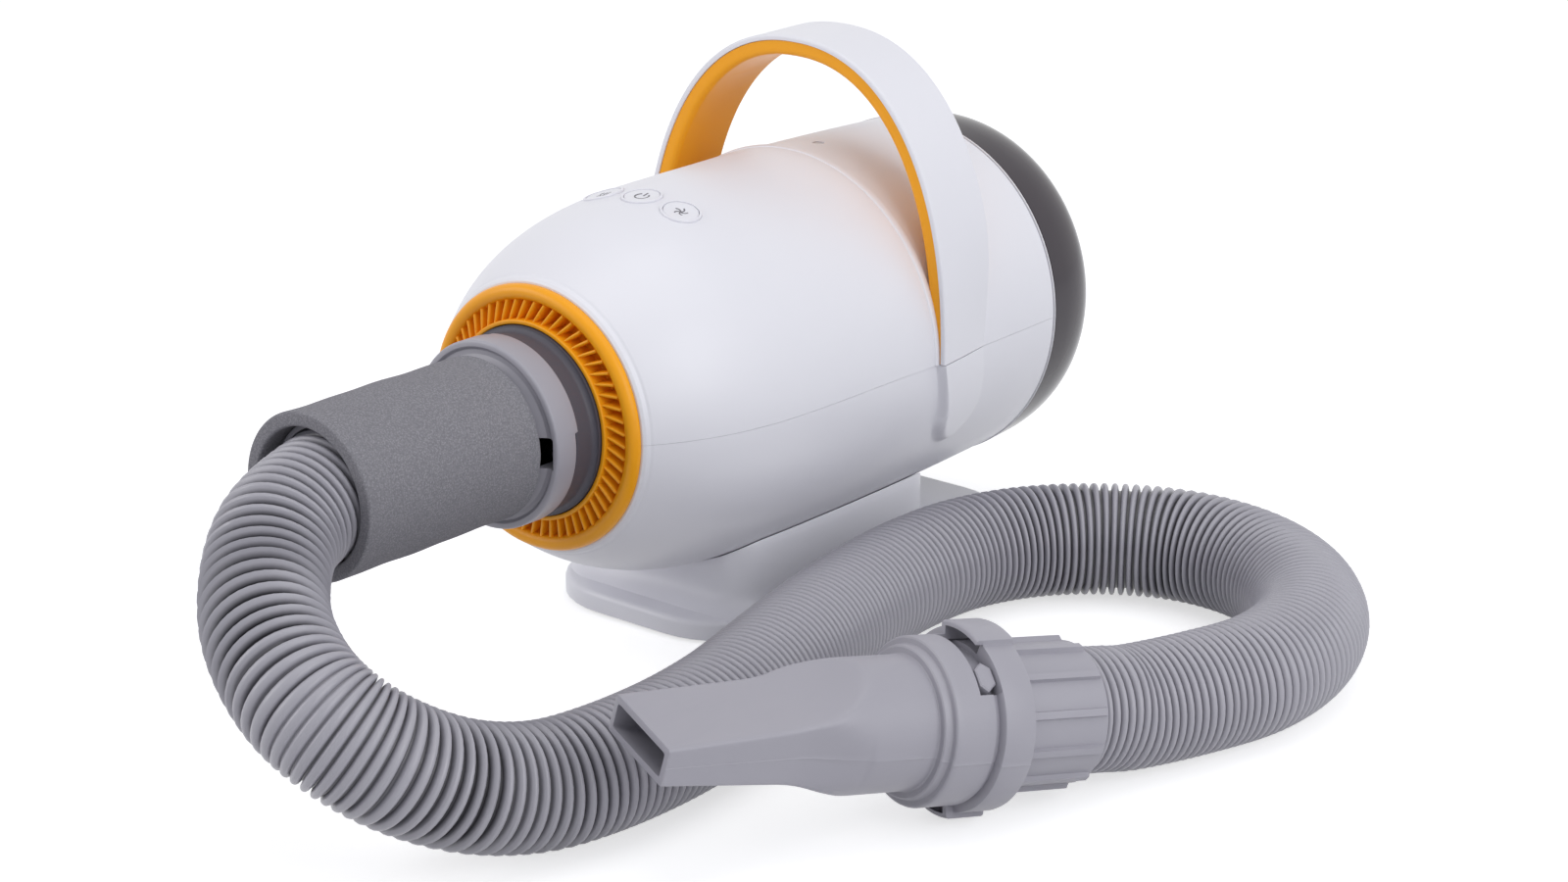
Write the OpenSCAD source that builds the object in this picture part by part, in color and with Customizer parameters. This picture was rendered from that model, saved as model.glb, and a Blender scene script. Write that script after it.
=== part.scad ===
// Pet dryer on a fixed foot: a blower body with a bow handle, a push-on hose and a flat nozzle.
// Origin: centre of the foot's underside. +Z is up, the air outlet faces -Y.

/* [Body] */
// Gap between the table and the body's underside
belly_z = 27; // [24:0.5:45]
// Outer radius of the body at its widest ring
body_r = 83; // [75:0.5:100]
// Place of the widest ring along the body
shoulder_y = -45; // [-60:1:-35]
// Length of the rounded nose in front of the widest ring
nose_len = 121; // [100:1:130]
// Length of the body behind the widest ring
tail_len = 137; // [114:1:165]
// How far the tail draws in at its rear edge
tail_drop = 3; // [1:0.5:6]
// Wall of the moulded shells
shell_wall = 2.8; // [2:0.1:4]
// Where the front upper shell ends in a raised lip
lip_y = 1.5; // [-5:0.5:8]
// How far the lip stands proud of the rear shell
lip_rise = 1.4; // [1:0.1:2.5]
// How far the rear shell runs on under the lip
lip_lap = 7; // [4:0.5:10]

/* [Handle] */
// How far the handle's sides stand proud of the body
handle_stand = 4.4; // [3:0.1:10]
// Height of the handle's top above the body's top
handle_clear = 50.6; // [40:0.2:65]
// Squareness of the handle's arch, 2 is an ellipse
handle_power = 2.23; // [2:0.01:2.6]
// Thickness of the outer handle shell
handle_shell_t = 2.6; // [2:0.1:5]
// Thickness of the inner grip liner
handle_liner_t = 6.8; // [4:0.1:8]
// Front edge of the handle at the parting line
handle_front_y = -0.7; // [-10:0.1:2]
// Width of the handle at the parting line
handle_w = 36; // [30:0.5:44]
// Rearward lean of the front edge, as a slope
handle_front_lean = 0.012; // [0:0.002:0.1]
// Rearward lean of the rear edge, as a slope
handle_rear_lean = 0.019; // [0:0.002:0.12]
// Depth of the tabs that carry the handle below the parting line
tab_depth = 44; // [36:1:52]
// How far a tab's round end lies behind its top
tab_shift = 5.5; // [0:0.5:8]

/* [Foot] */
// Width of the foot plate
foot_w = 120; // [100:1:150]
// Length of the foot plate
foot_len = 220; // [190:1:264]
// Corner radius of the foot plate
foot_corner_r = 40; // [20:1:50]
// Height of the foot plate's side wall
foot_edge_h = 9; // [6:0.5:14]
// Step from the foot plate's side in to the pedestal
side_step = 10; // [8:0.5:20]
// Step from the foot plate's front in to the pedestal
toe_step = 18; // [12:1:30]
// Step from the foot plate's rear in to the pedestal
heel_step = 66; // [45:1:80]
// Thickness of the rubber pad under the foot
pad_t = 1.2; // [0.8:0.1:3]
// Wall of the foot and pedestal
foot_wall = 3; // [2:0.1:5]

/* [Outlet] */
// Gap left between the housing's front edge and the ring's outer edge
ring_edge = 0.8; // [0.3:0.1:2]
// Radius of the round section of the front ring
ring_tube_r = 3.4; // [2.5:0.1:4]
// Number of slanted vanes
vane_count = 60; // [30:1:64]
// Length of a vane, from the inner lip to the front ring
vane_len = 7.4; // [5:0.1:12]
// Thickness of a vane
vane_t = 1.4; // [1:0.1:2]
// Slant of a vane away from the radial line
vane_slant = 24; // [0:1:40]
// Wall of the outlet collar
collar_wall = 6.1; // [4.5:0.1:8]

/* [Hose connector] */
// Wall of the connector's neck inside the collar
neck_wall = 4.3; // [3:0.1:6]
// Length of neck that shows between the collar and the flange
neck_show = 12.5; // [8:0.5:18]
// How far the flange stands out past the sleeve
flange_rise = 5; // [3:0.1:8]
// Length of the flange along the axis
flange_len = 11.8; // [8:0.1:16]
// How far the flange's upper quarter reaches back over the rest of its rear face
flange_step = 1.7; // [1:0.1:3]
// Wall of the barrel inside the sleeve
barrel_wall = 2.2; // [1.8:0.1:4]
// Length of the barrel in front of the flange
barrel_len = 87; // [70:1:90]
// Thickness of the foam sleeve
foam_t = 6.5; // [4:0.1:10]
// Length of the foam sleeve
foam_len = 97; // [80:1:97]

/* [Hose] */
// Outer radius of the hose over its ribs
hose_r = 25; // [21:0.1:30]
// Depth of the grooves between the ribs
hose_groove = 2.8; // [1.5:0.1:3.4]
// Wall of the hose at the foot of its grooves
hose_wall = 2.2; // [1.2:0.1:4]
// Number of ribs along the hose
hose_ribs = 190; // [60:1:200]

/* [Nozzle] */
// Width of the flat mouth
mouth_w = 43.2; // [36:0.1:46]
// Height of the flat mouth
mouth_h = 16; // [12:0.5:20]
// Radius of the round neck behind the mouth
neck_r = 26.4; // [25:0.1:28]
// Wall of the nozzle
nozzle_wall = 2; // [1.5:0.1:2.5]
// Length of the nozzle from its mouth to its rear edge
nozzle_len = 153.2; // [140:0.1:184]
// Radius of the socket bore that the cuff enters
socket_r = 30.6; // [30:0.1:37]
// Wall of the socket
socket_wall = 2.2; // [1.8:0.1:3]
// How far the rear flange stands out past the socket
nozzle_flange_rise = 3.1; // [2.4:0.1:5]
// How far the two bridges over the bayonet entries stand out past the flange
bridge_rise = 2.2; // [2:0.1:4]
// Number of grip ribs on the hose cuff
grip_ribs = 12; // [6:1:18]

/* [Rear cover] */
// Depth of the domed rear cover
dome_depth = 50; // [35:1:60]
// Squareness of the dome's outline, 2 is an ellipse
dome_power = 3.5; // [2.4:0.1:4.5]
// Wall of the dome
dome_wall = 2.4; // [1.8:0.1:3.5]
// Number of intake slots in the back of the dome
intake_slots = 24; // [12:1:30]
// Thickness of the trim ring between housing and dome
trim_t = 1.2; // [0.8:0.1:2]

/* [Buttons] */
// Place of the three buttons along the body
buttons_y = -100; // [-110:1:-90]
// Angle between neighbouring buttons round the axis
button_step_deg = 15.4; // [14:0.1:18]
// Radius of a button's cap
button_r = 7.6; // [6:0.1:9.2]
// Gap round a button's cap
button_gap = 0.3; // [0.2:0.05:0.5]
// Travel of a button
button_travel = 1; // [0.6:0.1:1.2]

/* [Motor] */
// Outer radius of the motor can
can_r = 48; // [44:0.5:58]
// Radius of the motor shaft
shaft_r = 4; // [3:0.5:5]
// Length of the motor can
can_len = 66; // [55:1:75]
// Outer radius of the impeller
impeller_r = 52; // [44:0.5:62]
// Number of impeller blades
blade_count = 9; // [6:1:12]

/* [Hidden] */

white = "#ececf0";
amber = "#f5a51c";
hose_grey = "#98969f";
foam_grey = "#7b7980";
dark_grey = "#4c4a52";
smoke = "#2e2a2e";
pale_grey = "#c9c6cc";

$fn = 96;
seat = 0.1;        // gap between fixed pieces that meet on a curved face
slide_gap = 0.3;   // gap round pieces that move
run_gap = 0.05;    // radial clearance of the shaft in its bearings
eps = 0.01;

axis_z = belly_z + body_r;
front_y = shoulder_y - nose_len;
rear_y = shoulder_y + tail_len;
nose_power = 3.7;
nose_steps = 14;
tail_steps = 6;
rear_r = body_r - tail_drop;

// From the hose out to the body's mouth, each radius from the one it goes round.
barrel_in_r = hose_r + 1;
barrel_r = barrel_in_r + barrel_wall;
foam_r = barrel_r + slide_gap + foam_t;
flange_r = foam_r + flange_rise;
neck_r_in = barrel_r + 1.8;
collar_bore_r = neck_r_in + neck_wall + slide_gap;
collar_r = collar_bore_r + collar_wall;
inner_lip_r = collar_r + 0.3;
vane_inner_r = inner_lip_r + 2;
vane_outer_r = vane_inner_r + vane_len;
ring_mid_r = vane_outer_r + ring_tube_r;
mouth_r = ring_mid_r + ring_tube_r + ring_edge;
nose_drop = body_r - mouth_r; // how far the nose draws in at its front edge

// Outer radius of the body at a place along its axis.
function skin_r(y) =
    y < shoulder_y
        ? body_r - nose_drop * pow((shoulder_y - y) / nose_len, nose_power)
        : body_r - tail_drop * pow((y - shoulder_y) / tail_len, 2);
function inner_r(y) = skin_r(y) - shell_wall;
// Extra radius of the front upper shell as it flares towards its lip.
function flare(y) = y < shoulder_y ? 0 : lip_rise * pow((y - shoulder_y) / (lip_y - shoulder_y), 2);

// Places along the nose, closer together where it curves most.
nose_ys = [for (i = [0:nose_steps]) shoulder_y - nose_len * sqrt(1 - i / nose_steps)];
// Radius of the nose's inner wall as it is built, straight between those places.
function nose_wall_r(y) = lookup(y, [for (p = nose_ys) [p, inner_r(p)]]);
function tail_ys(from, to) = [for (i = [0:tail_steps]) from + (to - from) * i / tail_steps];
function reversed(list) = [for (i = [len(list) - 1:-1:0]) list[i]];

// Turns a profile of [radius, y] into a solid round the body's axis.
module on_axis() { translate([0, 0, axis_z]) rotate([-90, 0, 0]) children(); }
module turned(profile) { on_axis() rotate_extrude() polygon(profile); }
module disc(r, y0, y1) { on_axis() translate([0, 0, y0]) cylinder(r = r, h = y1 - y0); }
// Ring of round section, lying square to the body's axis.
module axis_torus(r, section_r, y) {
    on_axis() translate([0, 0, y]) rotate_extrude() translate([r, 0]) circle(section_r, $fn = 24);
}
// Half space above or below the parting line.
module upper_half() { translate([-200, -300, axis_z]) cube([400, 600, 200]); }
module lower_half() { translate([-200, -300, axis_z - 200]) cube([400, 600, 200]); }
// Wedge between two angles round local Z, measured from local X.
module wedge(a0, a1, r, z0, z1) {
    mid = (a0 + a1) / 2;
    reach = r / cos((a1 - a0) / 4);
    translate([0, 0, z0]) linear_extrude(z1 - z0) polygon([
        [0, 0], reach * [cos(a0), sin(a0)], reach * [cos(mid), sin(mid)], reach * [cos(a1), sin(a1)]
    ]);
}

// Whole outer form, grown by a clearance, for cutting what seats on it.
module body_form(grow, lip_grow) {
    ys = concat(nose_ys, tail_ys(shoulder_y, lip_y));
    rear_ys = tail_ys(lip_y, rear_y);
    turned(concat(
        [[0, front_y]],
        [for (y = ys) [skin_r(y) + lip_grow * flare(y) + grow, y]],
        [for (y = rear_ys) [skin_r(y) + grow, y]],
        [[0, rear_y]]
    ));
}

// Shell of revolution between two places, with the plain skin.
module plain_shell(ys) {
    turned(concat(
        [for (y = ys) [skin_r(y), y]],
        reversed([for (y = ys) [inner_r(y), y]])
    ));
}

// ---- housing ----

handle_half_w = body_r + handle_stand;
handle_rise = body_r + handle_clear;
tab_r = handle_half_w - 0.5;

// Outline of a handle tab seen from the side, with its round lower end.
module tab_outline() {
    half = handle_w / 2;
    end_y = handle_front_y + half + tab_shift;
    translate([end_y, half - tab_depth]) circle(half);
    polygon([
        [handle_front_y, 0], [handle_front_y + handle_w, 0],
        [end_y + half, half - tab_depth], [end_y - half, half - tab_depth]
    ]);
}

module lower_housing() {
    color(white) {
        intersection() {
            plain_shell(concat(nose_ys, tail_ys(shoulder_y, rear_y)));
            lower_half();
        }
        intersection() {
            difference() {
                disc(tab_r, handle_front_y - 1, handle_front_y + handle_w + tab_shift + 1);
                disc(body_r - 1, handle_front_y - 2, handle_front_y + handle_w + tab_shift + 2);
            }
            translate([tab_r + 5, 0, axis_z]) rotate([90, 0, -90]) mirror([1, 0])
                linear_extrude(2 * tab_r + 10) tab_outline();
        }
    }
}

lap_y = lip_y - lip_lap;
board_top = skin_r(buttons_y) - 14; // top of the control board above the axis
board_half = [35, 16]; // half size of the control board
post_xy = [29, 12];    // posts that carry the board, from its centre

module upper_housing() {
    plain_ys = concat(nose_ys, tail_ys(shoulder_y, lap_y));
    lip_ys = [lap_y, (lap_y + lip_y) / 2, lip_y];
    color(white) difference() {
        union() {
            intersection() {
                turned(concat(
                    [for (y = plain_ys) [skin_r(y) + flare(y), y]],
                    [for (y = lip_ys) [skin_r(y) + flare(y), y]],
                    reversed([for (y = lip_ys) [skin_r(y) + seat, y]]),
                    reversed([for (y = plain_ys) [inner_r(y), y]])
                ));
                upper_half();
            }
            intersection() {
                for (sx = [-1, 1], sy = [-1, 1])
                    translate([sx * post_xy[0], buttons_y + sy * post_xy[1], axis_z + board_top])
                        cylinder(r = 3, h = body_r, $fn = 32);
                body_form(-shell_wall / 2, 0);
            }
        }
        for (i = [-1:1]) at_button(i) translate([0, 0, -shell_wall * 2]) cylinder(r = bezel_r + seat, h = 20);
    }
}

module rear_housing() {
    color(white) difference() {
        intersection() {
            plain_shell(tail_ys(lap_y, rear_y));
            upper_half();
        }
        translate([0, lens_y, axis_z]) cylinder(r = lens_r + seat, h = body_r + 5);
    }
}

lens_r = 2.6;
lens_y = handle_front_y + handle_w / 2 + 2;

module status_lens() {
    color(pale_grey) translate([0, lens_y, axis_z + inner_r(lens_y) - 0.5]) {
        cylinder(r = lens_r, h = shell_wall + 0.1, $fn = 32);
        translate([0, 0, -0.6]) cylinder(r = lens_r + 1.2, h = 0.8, $fn = 32);
    }
}

// ---- handle ----

arch_steps = 44;
arch_degs = [for (i = [0:arch_steps]) 180 * i / arch_steps];

// Point of the handle's arch, seen from the front, at a depth below its outer face.
function arch_at(inset, a) = [
    sign(cos(a)) * (handle_half_w - inset) * pow(abs(cos(a)), 2 / handle_power),
    (handle_rise - inset) * pow(max(sin(a), 0), 2 / handle_power)
];

// Side view of the handle: it leans back and widens a little towards the top.
module handle_side(inset) {
    top = handle_rise + 5;
    rear = handle_front_y + handle_w;
    polygon([
        [handle_front_y + inset, 0],
        [rear - inset, 0],
        [rear + handle_rear_lean * top - inset, top],
        [handle_front_y + handle_front_lean * top + inset, top]
    ]);
}

module handle_shell() {
    color(white) difference() {
        intersection() {
            translate([0, handle_front_y + 80, axis_z]) rotate([90, 0, 0]) linear_extrude(120)
                polygon(concat(
                    [for (a = arch_degs) arch_at(0, a)],
                    [for (a = reversed(arch_degs)) arch_at(handle_shell_t, a)]
                ));
            translate([-handle_half_w - 5, 0, axis_z]) rotate([90, 0, 90])
                linear_extrude(2 * handle_half_w + 10) handle_side(0);
        }
        body_form(seat, 1);
    }
}

liner_edge = 0.6;      // how far the liner stays inside the shell's edges
liner_rounds = [3.4, 1.6]; // rounding of its front and rear inner edges

// Section of the liner at height z: places across the handle and depths below its outer face.
function liner_section(z) =
    let (
        y0 = handle_front_y + handle_front_lean * z + liner_edge,
        y1 = handle_front_y + handle_w + handle_rear_lean * z - liner_edge,
        top = handle_shell_t + seat,
        low = handle_shell_t + handle_liner_t,
        front = liner_rounds[0],
        rear = liner_rounds[1]
    )
    concat(
        [[y0, top]],
        [for (a = [0:22.5:90]) [y0 + front * (1 - cos(a)), low - front * (1 - sin(a))]],
        [for (a = [90:-30:0]) [y1 - rear * (1 - cos(a)), low - rear * (1 - sin(a))]],
        [[y1, top]]
    );

// Grip liner: its rounded section is carried along the arch.
module handle_liner() {
    rings = [for (a = arch_degs) let (mid = arch_at(handle_shell_t + handle_liner_t / 2, a))
        [for (p = liner_section(mid[1])) let (q = arch_at(p[1], a)) [q[0], p[0], axis_z + q[1]]]];
    n = len(rings[0]);
    color(amber) difference() {
        polyhedron(
            [for (ring = rings) each ring],
            concat(
                [for (i = [0:arch_steps - 1], k = [0:n - 1]) each [
                    [i * n + k, i * n + (k + 1) % n, (i + 1) * n + (k + 1) % n],
                    [i * n + k, (i + 1) * n + (k + 1) % n, (i + 1) * n + k]
                ]],
                [[for (k = [n - 1:-1:0]) k]],
                [[for (k = [0:n - 1]) arch_steps * n + k]]
            ),
            convexity = 6
        );
        body_form(seat, 1);
    }
}

// ---- foot ----

module rounded_rect(w, l, r, y = 0) {
    translate([0, y]) intersection() {
        square([w, l], center = true);
        union() {
            square([w - 2 * r, l], center = true);
            square([w, l - 2 * r], center = true);
            for (sx = [-1, 1], sy = [-1, 1])
                translate([sx * (w / 2 - r), sy * (l / 2 - r)]) circle(r, $fn = 64);
        }
    }
}

pedestal_w = foot_w - 2 * side_step;
pedestal_front_y = toe_step - foot_len / 2;
pedestal_rear_y = foot_len / 2 - heel_step;
pedestal_len = pedestal_rear_y - pedestal_front_y;
pedestal_mid_y = (pedestal_rear_y + pedestal_front_y) / 2;
pedestal_corner_r = 16;
foot_top = pad_t + foot_edge_h;

module foot_slice(inset, z) {
    translate([0, 0, z]) linear_extrude(eps)
        rounded_rect(foot_w - 2 * inset, foot_len - 2 * inset, foot_corner_r - inset);
}

module pedestal_slice(grow, z) {
    size = [pedestal_w, pedestal_len] + 2 * [grow, grow];
    translate([0, 0, z]) linear_extrude(eps)
        rounded_rect(size[0], size[1], pedestal_corner_r + grow, pedestal_mid_y);
}

module foot() {
    color(white) difference() {
        union() {
            translate([0, 0, pad_t]) linear_extrude(foot_edge_h - 2)
                rounded_rect(foot_w, foot_len, foot_corner_r);
            hull() {
                foot_slice(0, foot_top - 2 - eps);
                foot_slice(2.5, foot_top);
            }
            hull() {
                pedestal_slice(7, foot_top - 1);
                pedestal_slice(4, foot_top + 4);
            }
            hull() {
                pedestal_slice(4, foot_top + 4 - eps);
                pedestal_slice(0.5, foot_top + 11);
            }
            translate([0, 0, pad_t]) linear_extrude(axis_z - body_r / 2)
                rounded_rect(pedestal_w, pedestal_len, pedestal_corner_r, pedestal_mid_y);
            translate([0, pedestal_rear_y - foot_wall, gland_z]) rotate([-90, 0, 0])
                cylinder(r = gland_r + 3.4, h = foot_wall + gland_y - pedestal_rear_y);
        }
        body_form(seat, 0);
        translate([0, 0, -eps]) linear_extrude(pad_t + foot_bottom_t)
            rounded_rect(bottom_w + 2 * seat, bottom_len + 2 * seat, bottom_corner_r);
        difference() {
            translate([0, 0, -eps]) linear_extrude(axis_z)
                rounded_rect(pedestal_w - 2 * foot_wall, pedestal_len - 2 * foot_wall,
                    pedestal_corner_r - foot_wall, pedestal_mid_y);
            body_form(foot_wall, 0);
        }
        translate([0, pedestal_rear_y - 10, gland_z]) rotate([-90, 0, 0])
            cylinder(r = gland_r + seat, h = 30);
    }
}

foot_bottom_t = 2;
bottom_w = foot_w - 12;
bottom_len = foot_len - 12;
bottom_corner_r = foot_corner_r - 6;

module foot_bottom() {
    color(white) translate([0, 0, pad_t]) linear_extrude(foot_bottom_t - eps)
        rounded_rect(bottom_w, bottom_len, bottom_corner_r);
}

module foot_pad() {
    color(dark_grey) linear_extrude(pad_t)
        rounded_rect(bottom_w - 10, bottom_len - 10, bottom_corner_r - 5);
}

gland_r = 5;
gland_bore_r = 3.2;
gland_z = foot_top + 9.3;
gland_y = pedestal_rear_y + 6; // face of the boss that carries the gland

// Strain relief in the rear wall of the pedestal, where the mains lead comes in.
module cord_gland() {
    inside = foot_wall + 6.5;
    color(dark_grey) translate([0, gland_y, gland_z]) rotate([-90, 0, 0]) difference() {
        union() {
            translate([0, 0, -inside]) cylinder(r = gland_r, h = inside + 0.1);
            cylinder(r = gland_r + 2, h = 2.5);
            translate([0, 0, 2.4]) cylinder(r1 = gland_r + 0.8, r2 = gland_r - 0.8, h = 9);
        }
        translate([0, 0, -inside - 1]) cylinder(r = gland_bore_r, h = inside + 20);
    }
}

// ---- outlet ----

ring_mid_y = front_y - 1;
lip_front_y = front_y - 6.5;
grille_floor_y = front_y + 5;
ring_seat_r = inner_r(front_y) - seat; // what slips inside the housing's front edge

module vane() {
    mid_r = (vane_inner_r + vane_outer_r) / 2;
    half = (vane_outer_r - vane_inner_r) / 2 / cos(vane_slant) + 0.7;
    translate([mid_r, 0, 0]) rotate([0, 0, vane_slant]) rotate([90, 0, 0])
        translate([0, 0, -vane_t / 2]) linear_extrude(vane_t)
            polygon([[-half, grille_floor_y - 1], [half, grille_floor_y - 1],
                [half, front_y - 3.4], [-half, front_y - 5.4]]);
}

module front_grille() {
    color(amber) {
        on_axis() rotate_extrude() difference() {
            translate([ring_mid_r, ring_mid_y]) circle(ring_tube_r, $fn = 48);
            translate([ring_seat_r, front_y - seat]) square(2 * ring_tube_r);
        }
        axis_torus(inner_lip_r + 1, 1, lip_front_y + 1);
        turned([
            [inner_lip_r, lip_front_y + 1], [vane_inner_r, lip_front_y + 1],
            [vane_inner_r, grille_floor_y - 2], [vane_outer_r, grille_floor_y - 2],
            [vane_outer_r, ring_mid_y], [ring_seat_r, ring_mid_y],
            [ring_seat_r, grille_floor_y], [inner_lip_r, grille_floor_y]
        ]);
        on_axis() for (i = [0:vane_count - 1]) rotate([0, 0, 360 * i / vane_count]) vane();
    }
}

collar_front_y = lip_front_y - 1;
collar_rear_y = grille_floor_y + 13;
groove_front_y = grille_floor_y - 3;
groove_rear_y = groove_front_y + 8;
lug_rise = 2.3;
lug_groove_r = collar_bore_r + lug_rise + 0.4;
collar_lugs = 3;
lug_deg = 16;
stub_r = lug_groove_r + 0.9; // stub in front of the collar, round the connector's neck
stub_flare = collar_r - stub_r;
stub_front_y = collar_front_y - neck_show + flange_step + slide_gap;

// Dark collar that the hose connector plugs into, with three bayonet entries.
module outlet_collar() {
    color(dark_grey) difference() {
        turned(concat(
            [[collar_bore_r, stub_front_y], [stub_r, stub_front_y]],
            [for (a = [0:15:90]) [
                collar_r - stub_flare * cos(a),
                collar_front_y - stub_flare * (1 - sin(a))
            ]],
            [[collar_r, grille_floor_y],
            [ring_mid_r, grille_floor_y], [ring_mid_r, grille_floor_y + 3],
            [duct_r - duct_wall - seat, grille_floor_y + 3], [duct_r - duct_wall - seat, collar_rear_y],
            [collar_bore_r, collar_rear_y],
            [collar_bore_r, groove_rear_y], [lug_groove_r, groove_rear_y],
            [lug_groove_r, groove_front_y], [collar_bore_r, groove_front_y]]
        ));
        on_axis() for (i = [0:collar_lugs - 1]) rotate([0, 0, 360 * i / collar_lugs + 36])
            wedge(-lug_deg / 2 - 1, lug_deg / 2 + 1, lug_groove_r, stub_front_y - 1, groove_front_y + 1);
    }
}

flange_rear_y = collar_front_y - neck_show;
flange_front_y = flange_rear_y - flange_len;
shoulder_front_y = flange_front_y - 2.9;
barrel_end_y = shoulder_front_y - barrel_len;
hose_bore_r = hose_r - hose_groove - hose_wall;
hose_start_y = shoulder_front_y - 15.6;
hose_stop_r = hose_bore_r + 1;

module hose_connector() {
    neck_r = collar_bore_r - slide_gap;
    color(hose_grey) difference() {
        union() {
            turned([
                [neck_r_in, collar_rear_y - 4], [neck_r, collar_rear_y - 4], [neck_r, flange_rear_y],
                [flange_r - 0.6, flange_rear_y], [flange_r, flange_rear_y - 0.6],
                [flange_r, flange_front_y + 1], [flange_r - 0.8, flange_front_y - 0.2],
                [foam_r + 1.8, flange_front_y - 1.6], [foam_r + 0.9, shoulder_front_y],
                [barrel_r, shoulder_front_y], [barrel_r, barrel_end_y], [barrel_in_r, barrel_end_y],
                [barrel_in_r, hose_start_y + slide_gap], [hose_stop_r, hose_start_y + slide_gap],
                [hose_stop_r, hose_start_y + 2], [barrel_r - 2, shoulder_front_y + 1],
                [neck_r_in, flange_front_y + 2]
            ]);
            on_axis() for (i = [0:collar_lugs - 1]) rotate([0, 0, 360 * i / collar_lugs]) intersection() {
                wedge(-lug_deg / 2, lug_deg / 2, collar_bore_r + 10, groove_front_y + 1, groove_rear_y - 1);
                difference() {
                    translate([0, 0, groove_front_y]) cylinder(r = collar_bore_r + lug_rise, h = 10);
                    translate([0, 0, groove_front_y - 1]) cylinder(r = neck_r_in + 1, h = 12);
                }
            }
            on_axis() intersection() {
                wedge(-100, -10, flange_r + 5, flange_rear_y - 1, flange_rear_y + flange_step);
                difference() {
                    translate([0, 0, flange_rear_y - 1]) cylinder(r = flange_r, h = flange_step + 2);
                    translate([0, 0, flange_rear_y - 2]) cylinder(r = flange_r - 2.4, h = flange_step + 4);
                }
            }
        }
        translate([foam_r - 1, shoulder_front_y - 1, axis_z - 7]) cube([4.4, 7, 13]);
        on_axis() for (i = [0:5]) rotate([0, 0, 60 * i + 15])
            translate([barrel_in_r - 1, -1.8, barrel_end_y - 1]) cube([5, 3.6, 5]);
    }
}

module foam_sleeve() {
    bore = barrel_r + slide_gap;
    y0 = shoulder_front_y - slide_gap;
    color(foam_grey) turned([[bore, y0], [foam_r, y0], [foam_r, y0 - foam_len], [bore, y0 - foam_len]]);
}

// ---- hose ----

nozzle_yaw = 71;
nozzle_pitch = -9;
nozzle_roll = 10.5;
socket_outer_r = socket_r + socket_wall;
nozzle_flange_r = socket_outer_r + nozzle_flange_rise;
bridge_r = nozzle_flange_r + bridge_rise;
// The mouth's height follows from the lower bridge, which rests on the table.
rest_gap = 0.2;
mouth_z = rest_gap + nozzle_len * sin(-nozzle_pitch) + bridge_r * cos(nozzle_pitch);
mouth_at = [181, -309, mouth_z];
nozzle_dir = [cos(nozzle_pitch) * cos(nozzle_yaw), cos(nozzle_pitch) * sin(nozzle_yaw), sin(nozzle_pitch)];
cuff_stop = nozzle_len + 6;
cuff_end = nozzle_len + 40.3;

// Puts local +Z along the nozzle from its mouth to its rear, with local +Y up.
module at_nozzle() {
    translate(mouth_at) rotate([nozzle_roll, -nozzle_pitch, nozzle_yaw]) rotate([90, 0, 90]) children();
}

// Middle line of the hose: straight out of the connector, over and down to the table,
// round in a wide loop and straight into the cuff.
lie = hose_r; // height of the middle line where the hose lies on the table
hose_route = concat(
    [for (y = [hose_start_y, hose_start_y - 27, hose_start_y - 54, barrel_end_y]) [0, y, axis_z]],
    [
        [8, -321, axis_z - 7], [27, -347, axis_z - 19], [54, -368, axis_z - 28], [84, -378, axis_z - 40],
        [106, -366, axis_z - 57], [118, -338, axis_z - 74],
        [126, -306, lie + 1.5], [132, -273, lie], [133, -238, lie], [129, -203, lie], [121, -169, lie],
        [112, -135, lie], [104, -101, lie], [98, -67, lie], [95, -32, lie], [98, 3, lie], [112, 35, lie],
        [137, 60, lie], [168, 74, lie], [202, 73, lie], [233, 58, lie], [257, 32, lie], [270, 0, lie],
        [272, -34, lie], [264, -67, lie + 0.4]
    ],
    [for (l = [cuff_end + 32, cuff_end + 16, cuff_end - 9, cuff_stop + seat]) mouth_at + l * nozzle_dir]
);
hose_sides = 8;
rings_per_rib = 2;
bore_every = 2;

// Point of the smooth curve through the route, at a place t counted in spans.
function route_at(t) =
    let (
        last = len(hose_route) - 1,
        i = min(floor(t), last - 1),
        u = t - i,
        p1 = hose_route[i],
        p2 = hose_route[i + 1],
        p0 = i > 0 ? hose_route[i - 1] : 2 * p1 - p2,
        p3 = i < last - 1 ? hose_route[i + 2] : 2 * p2 - p1,
        p = 0.5 * (2 * p1 + (p2 - p0) * u + (2 * p0 - 5 * p1 + 4 * p2 - p3) * pow(u, 2)
            + (3 * p1 - p0 - 3 * p2 + p3) * pow(u, 3))
    )
    [p[0], p[1], max(p[2], hose_r)];

// Lengths along the curve at fine steps, so that the ribs come at even spacing.
fine = 12;
fine_count = (len(hose_route) - 1) * fine;
fine_pts = [for (i = [0:fine_count]) route_at(i / fine)];
function running(i, total) =
    i > fine_count ? [] : let (next = total + (i == 0 ? 0 : norm(fine_pts[i] - fine_pts[i - 1])))
    concat([next], running(i + 1, next));
fine_len = running(0, 0);
hose_len = fine_len[fine_count];
function place_of(s) =
    let (i = min(max([for (k = [0:fine_count]) if (fine_len[k] <= s + eps) k]), fine_count - 1))
    (i + (s - fine_len[i]) / (fine_len[i + 1] - fine_len[i])) / fine;

function unit(v) = v / norm(v);
// Corner points of one ring round the curve, with a corner straight down where the hose lies flat.
function ring_pts(s, r) =
    let (
        t0 = place_of(max(s - 1, 0)),
        t1 = place_of(min(s + 1, hose_len)),
        along = unit(route_at(t1) - route_at(t0)),
        side = unit(cross(along, [0, 0, 1])),
        up = cross(side, along),
        mid = route_at(place_of(s))
    )
    [for (k = [0:hose_sides - 1]) let (a = 360 * k / hose_sides)
        mid + r * (cos(a) * side + sin(a) * up)];

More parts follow.
